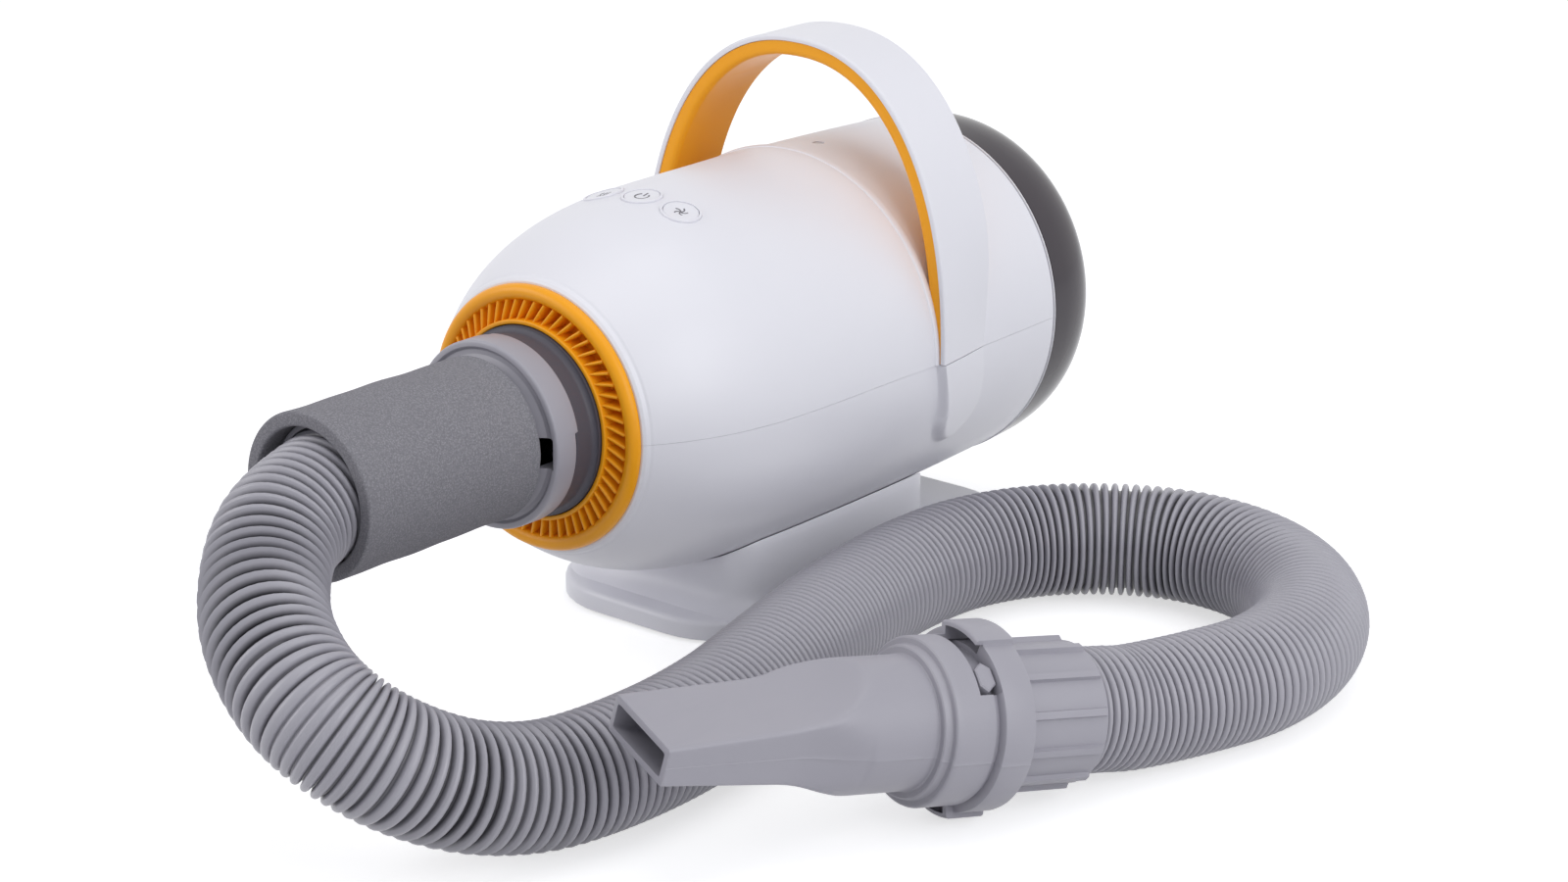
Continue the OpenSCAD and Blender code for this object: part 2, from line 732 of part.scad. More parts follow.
outer_rings = hose_ribs * rings_per_rib + 1;
bore_rings = ceil((outer_rings - 1) / rings_per_rib / bore_every) + 1;

module hose() {
    outer = [for (i = [0:outer_rings - 1])
        ring_pts(hose_len * i / (outer_rings - 1), i % rings_per_rib == 0 ? hose_r : hose_r - hose_groove)];
    bore = [for (i = [0:bore_rings - 1]) ring_pts(hose_len * i / (bore_rings - 1), hose_bore_r)];
    points = [for (ring = concat(outer, bore)) each ring];
    first_bore = outer_rings * hose_sides;
    last_outer = first_bore - hose_sides;
    last_bore = (outer_rings + bore_rings - 1) * hose_sides;
    // Two triangles between neighbouring corners of two rings that start at a and b.
    function strip(a, b) = [for (k = [0:hose_sides - 1]) let (n = (k + 1) % hose_sides)
        each [[a + k, a + n, b + n], [a + k, b + n, b + k]]];
    faces = concat(
        [for (i = [0:outer_rings - 2]) each strip(i * hose_sides, (i + 1) * hose_sides)],
        [for (i = [0:bore_rings - 2]) let (a = first_bore + i * hose_sides) each strip(a + hose_sides, a)],
        strip(first_bore, 0),
        strip(last_outer, last_bore)
    );
    echo(hose_length_mm = hose_len);
    color(hose_grey) polyhedron(points, faces, convexity = 20);
}

// ---- cuff and nozzle ----

lug_from = nozzle_len - 21.7;
lug_to = nozzle_len - 15.2;
lug_mid_deg = 121;
spigot_r = socket_r - slide_gap;
spigot_from = nozzle_len - 29.7;
seal_r = 1;
seal_at = nozzle_len - 25.7;

module hose_cuff() {
    grip_r = hose_r + 3.4;
    pocket_r = hose_r + 0.4;
    shoulder_at = nozzle_len + slide_gap;
    color(hose_grey) at_nozzle() {
        difference() {
            union() {
                rotate_extrude() polygon([
                    [hose_stop_r, spigot_from], [spigot_r - 1, spigot_from], [spigot_r, spigot_from + 1],
                    [spigot_r, shoulder_at], [grip_r + 3.4, shoulder_at], [grip_r + 3.4, shoulder_at + 2.4],
                    [grip_r, shoulder_at + 3.6], [grip_r, cuff_end - 1], [grip_r - 1, cuff_end],
                    [pocket_r, cuff_end], [pocket_r, cuff_stop], [hose_stop_r, cuff_stop]
                ]);
                for (i = [0:grip_ribs - 1]) rotate([0, 0, 360 * i / grip_ribs])
                    translate([grip_r - 0.6, -1.2, shoulder_at + 2])
                        cube([2.1, 2.4, cuff_end - shoulder_at - 3.2]);
            }
            translate([0, 0, seal_at]) rotate_extrude()
                translate([spigot_r - 2, -1.3]) square([5, 2.6]);
        }
        for (turn = [0, 180]) rotate([0, 0, lug_mid_deg + turn]) cuff_lug();
    }
}

// Pointed lug that locks in the nozzle's window.
module cuff_lug() {
    half = 5;
    mid = (lug_from + lug_to) / 2;
    translate([spigot_r - 0.5, 0, mid]) rotate([0, 90, 0]) linear_extrude(socket_wall + 1.4) polygon([
        [-(lug_to - mid), -half + 2], [0, -half], [lug_to - mid, -half + 2],
        [lug_to - mid, half - 2], [0, half], [-(lug_to - mid), half - 2]
    ]);
}

module cuff_seal() {
    color(dark_grey) at_nozzle() translate([0, 0, seal_at]) rotate_extrude()
        translate([spigot_r - 0.9, 0]) circle(seal_r, $fn = 24);
}

scoop_len = 22;
flat_len = nozzle_len - 67.2;

// Half height of the nozzle along its length: flat, then a scoop up to the round neck.
function half_h(l, mouth, full) =
    l <= flat_len ? mouth + (l / flat_len)
        : mouth + 1 + (full - mouth - 1) * (1 - sqrt(max(0, 1 - pow((l - flat_len) / scoop_len, 2))));
spout_len = nozzle_len - 41.2;
plan_len = flat_len + 14;
scoop_ls = concat([0], [for (i = [0:8]) flat_len + scoop_len * sin(90 * i / 8)], [spout_len]);

module spout_form(shrink) {
    full = neck_r - shrink;
    half_w = mouth_w / 2 - shrink;
    ls = scoop_ls;
    over = shrink > 0 ? 1 : 0;
    intersection() {
        translate([0, 0, -over]) cylinder(r = full, h = spout_len + over);
        rotate([90, 0, 0]) translate([0, 0, -50]) linear_extrude(100) polygon([
            [-half_w, -over], [half_w, -over], [full + 1, plan_len], [full + 1, spout_len + 1],
            [-full - 1, spout_len + 1], [-full - 1, plan_len]
        ]);
        rotate([90, 0, 90]) translate([0, 0, -50]) linear_extrude(100) polygon(concat(
            [for (l = ls) [half_h(l, mouth_h / 2 - shrink, full + 0.5), l == 0 ? -over : l]],
            reversed([for (l = ls) [-half_h(l, mouth_h / 2 - shrink, full + 0.5), l == 0 ? -over : l]])
        ));
    }
}

bridge_deg = [62, 101];
entry_deg = [66, 97];
window_deg = [92, 132];
window_l = [nozzle_len - 23.7, nozzle_len - 14.2];
bridge_l = nozzle_len - 18.7;
shoulder_l = nozzle_len - 39.2;
// Radius between the neck and the socket, for its rounded shoulder.
function shoulder_r(part) = neck_r + part * (socket_outer_r - neck_r);

module nozzle() {
    color(hose_grey) at_nozzle() difference() {
        union() {
            spout_form(0);
            rotate_extrude() polygon([
                [0, spout_len - 2], [neck_r, spout_len - 2], [neck_r, shoulder_l],
                [shoulder_r(0.13), shoulder_l + 1.6], [shoulder_r(0.6), shoulder_l + 2.8],
                [shoulder_r(0.85), shoulder_l + 4.6], [socket_outer_r, shoulder_l + 7.5],
                [socket_outer_r, nozzle_len - 17.2], [socket_outer_r - 1, nozzle_len - 16.4],
                [socket_outer_r - 1, nozzle_len - 14.7], [nozzle_flange_r - 0.6, nozzle_len - 14.4],
                [nozzle_flange_r, nozzle_len - 13.8], [nozzle_flange_r, nozzle_len - 0.8],
                [nozzle_flange_r - 0.8, nozzle_len], [0, nozzle_len]
            ]);
            for (turn = [0, 180]) rotate([0, 0, turn]) intersection() {
                wedge(bridge_deg[0], bridge_deg[1], bridge_r + 5, bridge_l, nozzle_len);
                rotate_extrude() polygon([
                    [socket_r + 1, bridge_l], [bridge_r - 1.5, bridge_l], [bridge_r, bridge_l + 1.5],
                    [bridge_r, nozzle_len - 1], [bridge_r - 1, nozzle_len], [socket_r + 1, nozzle_len]
                ]);
            }
        }
        spout_form(nozzle_wall);
        rotate_extrude() polygon([
            [0, spout_len - 2], [neck_r - nozzle_wall, spout_len - 2], [neck_r - nozzle_wall, shoulder_l],
            [neck_r - nozzle_wall / 2, shoulder_l + 3.4], [socket_r, spigot_from - 1],
            [socket_r, nozzle_len + 1], [0, nozzle_len + 1]
        ]);
        for (turn = [0, 180]) rotate([0, 0, turn]) {
            wedge(window_deg[0], window_deg[1], bridge_r + 5, window_l[0], window_l[1]);
            intersection() {
                wedge(entry_deg[0], entry_deg[1], bridge_r + 5, window_l[0], nozzle_len + 1);
                cylinder(r = bridge_r - 2, h = nozzle_len + 1);
            }
        }
    }
}

// ---- rear end ----

dome_y = rear_y + trim_t + 0.2;
dome_steps = 14;

module trim_ring() {
    inner = inner_r(rear_y);
    color(pale_grey) turned([
        [inner, rear_y], [rear_r, rear_y], [rear_r + 0.2, rear_y + trim_t / 2], [rear_r, rear_y + trim_t],
        [inner, rear_y + trim_t]
    ]);
}

function dome_pts(r, depth) = [for (i = [0:dome_steps]) let (a = 90 * i / dome_steps)
    [r * pow(cos(a), 2 / dome_power), dome_y + depth * pow(sin(a), 2 / dome_power)]];

spigot_y = rear_y - 8;
cover_spigot_r = inner_r(rear_y) - slide_gap;
slot_len = 24;
slot_w = 3.2;

module rear_cover() {
    inner_wall = cover_spigot_r - 2;
    color(smoke) difference() {
        turned(concat(
            [[inner_wall, spigot_y], [cover_spigot_r, spigot_y], [cover_spigot_r, dome_y]],
            dome_pts(rear_r, dome_depth),
            reversed(dome_pts(inner_wall, dome_depth - dome_wall))
        ));
        on_axis() for (i = [0:intake_slots - 1]) rotate([0, 0, 360 * i / intake_slots])
            translate([rear_r * 0.3, -slot_w / 2, dome_y + 20]) cube([slot_len, slot_w, dome_depth]);
    }
}

module intake_filter() {
    color("#3a3a40") disc(cover_spigot_r - 2 - slide_gap, spigot_y + 1, dome_y);
}

guard_y = spigot_y - 3;

// Fixed finger guard between the filter and the fan.
module intake_guard() {
    rim = inner_r(guard_y) - seat;
    color(dark_grey) {
        for (r = [rim, rim - 20, rim - 40])
            turned([[r - 3, guard_y - 2], [r, guard_y - 2], [r, guard_y], [r - 3, guard_y]]);
        disc(12, guard_y - 2, guard_y);
        on_axis() for (i = [0:7]) rotate([0, 0, 45 * i])
            translate([10, -1.2, guard_y - 2]) cube([rim - 12, 2.4, 2]);
    }
}

// ---- buttons ----

bezel_r = button_r + button_gap + 1.1;
button_tilt = atan((skin_r(buttons_y + 1) - skin_r(buttons_y - 1)) / 2);
cap_top = 0.3;
bezel_depth = 3;
switch_top = board_top + 2;

// Puts local Z along the body's outward normal at button i, with its origin on the skin.
module at_button(i) {
    translate([0, buttons_y, axis_z]) rotate([0, button_step_deg * i, 0])
        translate([0, 0, skin_r(buttons_y)]) rotate([button_tilt, 0, 0]) children();
}

module bezel(i) {
    color(white) at_button(i) rotate_extrude() polygon([
        [button_r + button_gap, -bezel_depth], [bezel_r, -bezel_depth], [bezel_r, 0.3],
        [bezel_r - 0.3, 0.6], [button_r + button_gap + 0.2, 0.6], [button_r + button_gap, 0.4]
    ]);
}

module button(i) {
    stem_end = skin_r(buttons_y) - (switch_top + 2.4 * button_travel) / cos(button_step_deg * i);
    color(white) at_button(i) rotate_extrude() polygon([
        [0, cap_top - 0.3], [button_r * 0.55, cap_top - 0.25],
        [button_r - 0.8, cap_top], [button_r, cap_top - 0.5],
        [button_r, -bezel_depth - button_gap], [button_r + 0.9, -bezel_depth - button_gap],
        [button_r + 0.9, -bezel_depth - 1.6], [2, -bezel_depth - 1.6], [2, -stem_end], [0, -stem_end]
    ]);
}

module power_button() { button(0); }
module heat_button() { button(-1); }
module airflow_button() { button(1); }
module power_bezel() { bezel(0); }
module heat_bezel() { bezel(-1); }
module airflow_bezel() { bezel(1); }

module control_board() {
    color("#2d6a45") translate([-board_half[0], buttons_y - board_half[1], axis_z + board_top - 1.6])
        cube([2 * board_half[0], 2 * board_half[1], 1.6]);
    color(dark_grey) for (i = [-1:1])
        translate([switch_top * tan(button_step_deg * i) - 3, buttons_y - 3, axis_z + board_top - eps])
            cube([6, 6, switch_top - board_top]);
    color(smoke) translate([-30, buttons_y - 12, axis_z + board_top - 6.6]) cube([18, 24, 5.1]);
    color(smoke) translate([8, buttons_y - 8, axis_z + board_top - 9.6])
        cube([16, 16, 8.1]);
}

// ---- motor and fan ----

// The fan sits behind the intake guard, and the motor in front of the fan.
shroud_y = [guard_y - 41, guard_y - 5];
impeller_y = [shroud_y[0] + 8, shroud_y[1] - 9];
can_rear_y = shroud_y[0];
can_front_y = can_rear_y - can_len;
can_wall = 2;
bearing_r = shaft_r + 7;
bearing_w = 7;
stator_y = [can_front_y + 14, can_rear_y - 14];
stator_bore_r = can_r - 23;
shroud_r = max(can_r + 12, impeller_r + 8);
eye_r = 22;

module motor_can() {
    boss_r = bearing_r + 3;
    bore_r = bearing_r + seat;
    front_boss = can_front_y - 4;
    color("#b9bcc0") turned([
        [bore_r, front_boss], [boss_r, front_boss], [boss_r, can_front_y], [can_r - 4, can_front_y],
        [can_r, can_front_y + 4], [can_r, can_rear_y], [bore_r, can_rear_y],
        [bore_r, can_rear_y - bearing_w], [boss_r, can_rear_y - bearing_w], [boss_r, can_rear_y - 3],
        [can_r - can_wall, can_rear_y - 3], [can_r - can_wall, can_front_y + 5], [can_r - 5, can_front_y + 3],
        [boss_r, can_front_y + 3], [bore_r, can_front_y + 3]
    ]);
}

module bearing(y) {
    color("#c8cacd") turned([
        [shaft_r + run_gap, y], [bearing_r, y], [bearing_r, y + bearing_w], [shaft_r + run_gap, y + bearing_w]
    ]);
}
module bearing_front() { bearing(can_front_y - 4); }
module bearing_rear() { bearing(can_rear_y - bearing_w); }

module stator() {
    slots = 6;
    color("#8d5a3a") difference() {
        turned([[stator_bore_r, stator_y[0]], [can_r - can_wall - seat, stator_y[0]],
            [can_r - can_wall - seat, stator_y[1]], [stator_bore_r, stator_y[1]]]);
        on_axis() for (i = [0:slots - 1]) rotate([0, 0, 60 * i])
            translate([stator_bore_r + 8, 0, stator_y[0] - 1])
                cylinder(r = 5, h = stator_y[1] - stator_y[0] + 2, $fn = 32);
    }
}

module motor_shaft() { color("#c8cacd") disc(shaft_r, can_front_y - 6, impeller_y[1] + 4); }

module armature() {
    color("#8f9297") turned([
        [shaft_r, stator_y[0]], [stator_bore_r - 1.5, stator_y[0]],
        [stator_bore_r - 1.5, stator_y[1]], [shaft_r, stator_y[1]]
    ]);
}

// Backward-curved blade outline from the eye to the rim.
module blade_outline() {
    inner = 16;
    steps = 10;
    sweep = 62;
    t = 1.4;
    path = [for (i = [0:steps]) let (r = inner + (impeller_r - 1 - inner) * i / steps, a = sweep * i / steps)
        r * [cos(a), sin(a)]];
    across = [for (i = [0:steps]) let (d = path[min(i + 1, steps)] - path[max(i - 1, 0)])
        unit([-d[1], d[0]]) * t / 2];
    polygon(concat(
        [for (i = [0:steps]) path[i] + across[i]],
        reversed([for (i = [0:steps]) path[i] - across[i]])
    ));
}

module impeller() {
    plate_t = 1.5;
    color("#b9bcc0") {
        turned([
            [shaft_r, impeller_y[0]], [impeller_r, impeller_y[0]], [impeller_r, impeller_y[0] + plate_t],
            [shaft_r + 7, impeller_y[0] + plate_t], [shaft_r + 5, impeller_y[0] + plate_t + 2],
            [shaft_r + 5, impeller_y[1]], [shaft_r, impeller_y[1]]
        ]);
        turned([
            [eye_r, impeller_y[1] - plate_t], [impeller_r, impeller_y[1] - plate_t],
            [impeller_r, impeller_y[1]], [eye_r, impeller_y[1]]
        ]);
        on_axis() translate([0, 0, impeller_y[0] + 0.5]) for (i = [0:blade_count - 1])
            rotate([0, 0, 360 * i / blade_count])
                linear_extrude(impeller_y[1] - impeller_y[0] - 1) blade_outline();
    }
}

module fan_shroud() {
    ports = 12;
    color("#a7aaae") difference() {
        turned([
            [eye_r, shroud_y[1]], [shroud_r - 3, shroud_y[1]], [shroud_r, shroud_y[1] - 3],
            [shroud_r, shroud_y[0]], [shaft_r + 8, shroud_y[0]],
            [shaft_r + 8, shroud_y[0] + 2], [shroud_r - 2, shroud_y[0] + 2],
            [shroud_r - 2, shroud_y[1] - 4], [shroud_r - 4, shroud_y[1] - 2], [eye_r, shroud_y[1] - 2]
        ]);
        on_axis() for (i = [0:ports - 1]) rotate([0, 0, 360 * i / ports])
            translate([can_r + 5.5, 0, shroud_y[0] - 1]) cylinder(r = 4, h = 4, $fn = 32);
    }
}

// Rubber ring between a motor part and the housing wall, with air ports.
module rubber_mount(r_in, y0, y1, ports, port_r) {
    mid_r = (r_in + inner_r(y1)) / 2;
    outer0 = min(inner_r(y0), inner_r(y1)) - 2 * seat;
    color(dark_grey) difference() {
        turned([[r_in + seat, y0], [outer0, y0], [outer0, y1], [r_in + seat, y1]]);
        on_axis() for (i = [0:ports - 1]) rotate([0, 0, 360 * i / ports])
            translate([mid_r, 0, y0 - 1]) cylinder(r = port_r, h = y1 - y0 + 2, $fn = 32);
    }
}
module front_mount() { rubber_mount(can_r, can_front_y + 6, can_front_y + 14, 10, 8); }
module rear_mount() { rubber_mount(shroud_r, shroud_y[1] - 20, shroud_y[1] - 12, 1, 2); }

// ---- heater ----

duct_wall = 1.2;
duct_r = collar_bore_r + lug_rise + 7.8 + seat + duct_wall;
duct_rear_y = max(can_front_y - 36, buttons_y + board_half[1] + 4);
coil_r = duct_r - 13;
coil_wire_r = 1;
coil_ys = [for (y = [collar_rear_y + 10:9:duct_rear_y - 12]) y];

// Metal duct round the heater, with a bulkhead that seats in the housing.
module heater_duct() {
    bulkhead_r = min(nose_wall_r(duct_rear_y), inner_r(duct_rear_y + 2)) - 2 * seat;
    color("#c3c6ca") turned([
        [duct_r - duct_wall, grille_floor_y + 3 + seat], [duct_r, grille_floor_y + 3 + seat],
        [duct_r, duct_rear_y], [bulkhead_r, duct_rear_y], [bulkhead_r, duct_rear_y + 2],
        [duct_r - duct_wall, duct_rear_y + 2]
    ]);
}

module heater_coil() { color("#8a8580") for (y = coil_ys) axis_torus(coil_r, coil_wire_r, y); }

module heater_frame() {
    half = duct_r - duct_wall - slide_gap;
    len = duct_rear_y - 4 - collar_rear_y;
    color("#d8cbb0") difference() {
        translate([0, collar_rear_y + 2, axis_z]) for (turn = [45, -45]) rotate([0, turn, 0])
            translate([-half, 0, -0.6]) cube([2 * half, len, 1.2]);
        for (y = coil_ys) axis_torus(coil_r, coil_wire_r + seat, y);
    }
}

lower_housing();
upper_housing();
rear_housing();
status_lens();
handle_shell();
handle_liner();
foot();
foot_bottom();
foot_pad();
cord_gland();
front_grille();
outlet_collar();
hose_connector();
foam_sleeve();
hose();
hose_cuff();
cuff_seal();
nozzle();
trim_ring();
rear_cover();
intake_filter();
intake_guard();
power_button();
heat_button();
airflow_button();
power_bezel();
heat_bezel();
airflow_bezel();
control_board();
motor_can();
stator();
bearing_front();
bearing_rear();
motor_shaft();
armature();
impeller();
fan_shroud();
front_mount();
rear_mount();
heater_duct();
heater_frame();
heater_coil();
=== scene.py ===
from math import asin, atan, atan2, copysign, cos, degrees, hypot, pi, radians, sin, sqrt, tan
import bpy
import bmesh
import numpy as np
from mathutils import Matrix, Vector


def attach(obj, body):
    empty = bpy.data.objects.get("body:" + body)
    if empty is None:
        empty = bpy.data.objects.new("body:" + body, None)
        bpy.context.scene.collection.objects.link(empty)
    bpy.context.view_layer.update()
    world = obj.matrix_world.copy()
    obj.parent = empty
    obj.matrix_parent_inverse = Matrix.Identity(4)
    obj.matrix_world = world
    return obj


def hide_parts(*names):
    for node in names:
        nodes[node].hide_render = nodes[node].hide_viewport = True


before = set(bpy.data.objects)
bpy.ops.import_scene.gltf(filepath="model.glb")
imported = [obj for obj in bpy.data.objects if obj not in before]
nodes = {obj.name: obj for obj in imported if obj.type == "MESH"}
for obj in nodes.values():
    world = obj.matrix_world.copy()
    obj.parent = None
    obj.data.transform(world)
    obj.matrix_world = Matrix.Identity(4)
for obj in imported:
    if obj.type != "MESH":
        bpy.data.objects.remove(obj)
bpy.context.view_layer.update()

bpy.context.scene.view_settings.view_transform = "Standard"
mm = 0.001
axisHeight = 110.0  # the body's own axis, above the table
print("frame loaded:", len(nodes), "nodes")

camera = {
    "place": (0.98175, -1.2137, 0.58389),
    "right": (0.775110, 0.631792, 0.006761),
    "up": (-0.207121, 0.243969, 0.947405),
    "back": (0.596914, -0.735745, 0.319953),
    "lens": 83.25,
    "sensor": 36.0,
    "farthest": 20.0,
}


def addObject(name, data):
    made = bpy.data.objects.new(name, data)
    bpy.context.scene.collection.objects.link(made)
    return made


def placeCamera():
    data = bpy.data.cameras.new("studioCamera")
    data.lens = camera["lens"]
    data.sensor_width = camera["sensor"]
    data.clip_end = camera["farthest"]
    holder = addObject("studioCamera", data)
    turn = Matrix((camera["right"], camera["up"], camera["back"])).transposed().to_4x4()
    holder.matrix_world = Matrix.Translation(camera["place"]) @ turn
    bpy.context.scene.camera = holder


placeCamera()


def newGroup(name, inputs, outputs):
    tree = bpy.data.node_groups.new(name, "ShaderNodeTree")
    for side, labels in (("INPUT", inputs), ("OUTPUT", outputs)):
        for label in labels:
            tree.interface.new_socket(name=label, in_out=side, socket_type="NodeSocketFloat")
    return tree, tree.nodes.new("NodeGroupInput"), tree.nodes.new("NodeGroupOutput")


def addNode(tree, kind, values=None, **props):
    node = tree.nodes.new("ShaderNode" + kind)
    for key, value in props.items():
        setattr(node, key, value)
    for key, value in (values or {}).items():
        node.inputs[key].default_value = value
    return node


def wire(tree, *links):
    # each link is a node, its output, the next node and its input
    for source, output, target, socket in links:
        tree.links.new(source.outputs[output], target.inputs[socket])


def mouldGrainGroup():
    # fine spark-eroded grain of a moulding, with slow cloudy tone changes
    tree, given, out = newGroup("mouldGrain", ("Grain Size", "Cloud Size"), ("Height", "Cloud"))
    place = addNode(tree, "TexCoord")
    grain = addNode(tree, "TexNoise", {"Detail": 3.0, "Roughness": 0.6})
    cloud = addNode(tree, "TexNoise", {"Detail": 4.0, "Roughness": 0.55, "Distortion": 0.4})
    wire(tree, (place, "Object", grain, "Vector"), (place, "Object", cloud, "Vector"),
         (given, "Grain Size", grain, "Scale"), (given, "Cloud Size", cloud, "Scale"),
         (grain, "Fac", out, "Height"), (cloud, "Fac", out, "Cloud"))
    return tree


def touchMarksGroup():
    # faint smears and hairline rubs, as a mask for roughness
    tree, given, out = newGroup("touchMarks", ("Smear Size", "Rub Size"), ("Mask",))
    place = addNode(tree, "TexCoord")
    stretch = addNode(tree, "Mapping", {"Scale": (1.0, 0.16, 1.0), "Rotation": (0.3, 0.1, 0.5)})
    smear = addNode(tree, "TexNoise", {"Detail": 5.0, "Roughness": 0.6, "Distortion": 1.1})
    rub = addNode(tree, "TexNoise", {"Detail": 2.0, "Roughness": 0.5})
    narrow = addNode(tree, "MapRange", {"From Min": 0.56, "From Max": 0.76})
    mix = addNode(tree, "Math", {1: 0.45}, operation="MULTIPLY_ADD")
    wire(tree, (place, "Object", smear, "Vector"), (place, "Object", stretch, "Vector"),
         (stretch, "Vector", rub, "Vector"), (given, "Smear Size", smear, "Scale"),
         (given, "Rub Size", rub, "Scale"), (rub, "Fac", narrow, "Value"),
         (narrow, "Result", mix, 0), (smear, "Fac", mix, 2), (mix, "Value", out, "Mask"))
    return tree


def foamPoresGroup():
    # open cells of a cut foam: small dark pores between pale walls
    tree, given, out = newGroup("foamPores", ("Pore Size",), ("Height", "Pore"))
    place = addNode(tree, "TexCoord")
    cells = addNode(tree, "TexVoronoi", {"Randomness": 1.0}, feature="F1")
    mottle = addNode(tree, "TexNoise", {"Scale": 1300.0, "Detail": 4.0, "Roughness": 0.75})
    deep = addNode(tree, "MapRange", {"From Min": 0.1, "From Max": 0.55})
    mix = addNode(tree, "Math", {1: 0.35}, operation="MULTIPLY_ADD")
    wire(tree, (place, "Object", cells, "Vector"), (place, "Object", mottle, "Vector"),
         (given, "Pore Size", cells, "Scale"), (cells, "Distance", deep, "Value"),
         (deep, "Result", mix, 0), (mottle, "Fac", mix, 2),
         (mix, "Value", out, "Height"), (deep, "Result", out, "Pore"))
    return tree


mouldGrain = mouldGrainGroup()
touchMarks = touchMarksGroup()
foamPores = foamPoresGroup()


def startMaterial(name):
    material = bpy.data.materials.new(name)
    material.use_nodes = True
    return material, material.node_tree, material.node_tree.nodes["Principled BSDF"]


def shareMix(tree, source, output, low, high, dark):
    # goes from the dark colour at low to whatever B holds at high
    spread = addNode(tree, "MapRange", {"From Min": low, "From Max": high})
    mix = addNode(tree, "Mix", {"A": (*dark, 1.0)}, data_type="RGBA")
    wire(tree, (source, output, spread, "Value"), (spread, "Result", mix, "Factor"))
    return mix


def tonedColour(tree, shader, source, output, light, dark, low=0.3, high=0.7):
    mix = shareMix(tree, source, output, low, high, dark)
    mix.inputs["B"].default_value = (*light, 1.0)
    wire(tree, (mix, "Result", shader, "Base Color"))
    return mix


def paintedGrooveShade(tree, shader, toned, deep):
    # painted shade in the folds between the hose's ribs: darker the deeper they lie
    depth = addNode(tree, "Attribute", attribute_name="ribShare")
    mix = shareMix(tree, depth, "Fac", 0.12, 0.72, deep)
    wire(tree, (toned, "Result", mix, "B"), (mix, "Result", shader, "Base Color"))


def roughFrom(tree, shader, source, output, low, high):
    spread = addNode(tree, "MapRange",
                     {"From Min": 0.3, "From Max": 0.95, "To Min": low, "To Max": high})
    wire(tree, (source, output, spread, "Value"), (spread, "Result", shader, "Roughness"))


def bumpFrom(tree, shader, source, depth, strength=1.0):
    bump = addNode(tree, "Bump", {"Strength": strength, "Distance": depth})
    wire(tree, (source, "Height", bump, "Height"), (bump, "Normal", shader, "Normal"))


def mouldedFinish(name, light, dark, rough, grain, depth, cloud=9.0, smear=20.0, rub=150.0,
                  gloss=0.5, coat=0.0, metal=0.0, deep=None):
    material, tree, shader = startMaterial(name)
    texture = addNode(tree, "Group", {"Grain Size": grain, "Cloud Size": cloud},
                      node_tree=mouldGrain)
    marks = addNode(tree, "Group", {"Smear Size": smear, "Rub Size": rub}, node_tree=touchMarks)
    toned = tonedColour(tree, shader, texture, "Cloud", light, dark)
    # deep is the colour of the painted shade at the bottom of the hose's folds
    if deep:
        paintedGrooveShade(tree, shader, toned, deep)
    roughFrom(tree, shader, marks, "Mask", *rough)
    bumpFrom(tree, shader, texture, depth)
    shader.inputs["Specular IOR Level"].default_value = gloss
    shader.inputs["Metallic"].default_value = metal
    if coat:
        shader.inputs["Coat Weight"].default_value = coat
        shader.inputs["Coat Roughness"].default_value = 0.08
    return material


def metalFinish(name, light, dark, rough, grain=240.0):
    return mouldedFinish(name, light, dark, rough, grain, 0.00003, cloud=30.0, smear=40.0,
                         rub=300.0, metal=1.0)


def foamFinish(name, light, dark):
    material, tree, shader = startMaterial(name)
    pores = addNode(tree, "Group", {"Pore Size": 1150.0}, node_tree=foamPores)
    tonedColour(tree, shader, pores, "Height", light, dark, 0.35, 0.95)
    roughFrom(tree, shader, pores, "Pore", 0.86, 0.98)
    bumpFrom(tree, shader, pores, 0.0003, 0.8)
    shader.inputs["Specular IOR Level"].default_value = 0.2
    return material


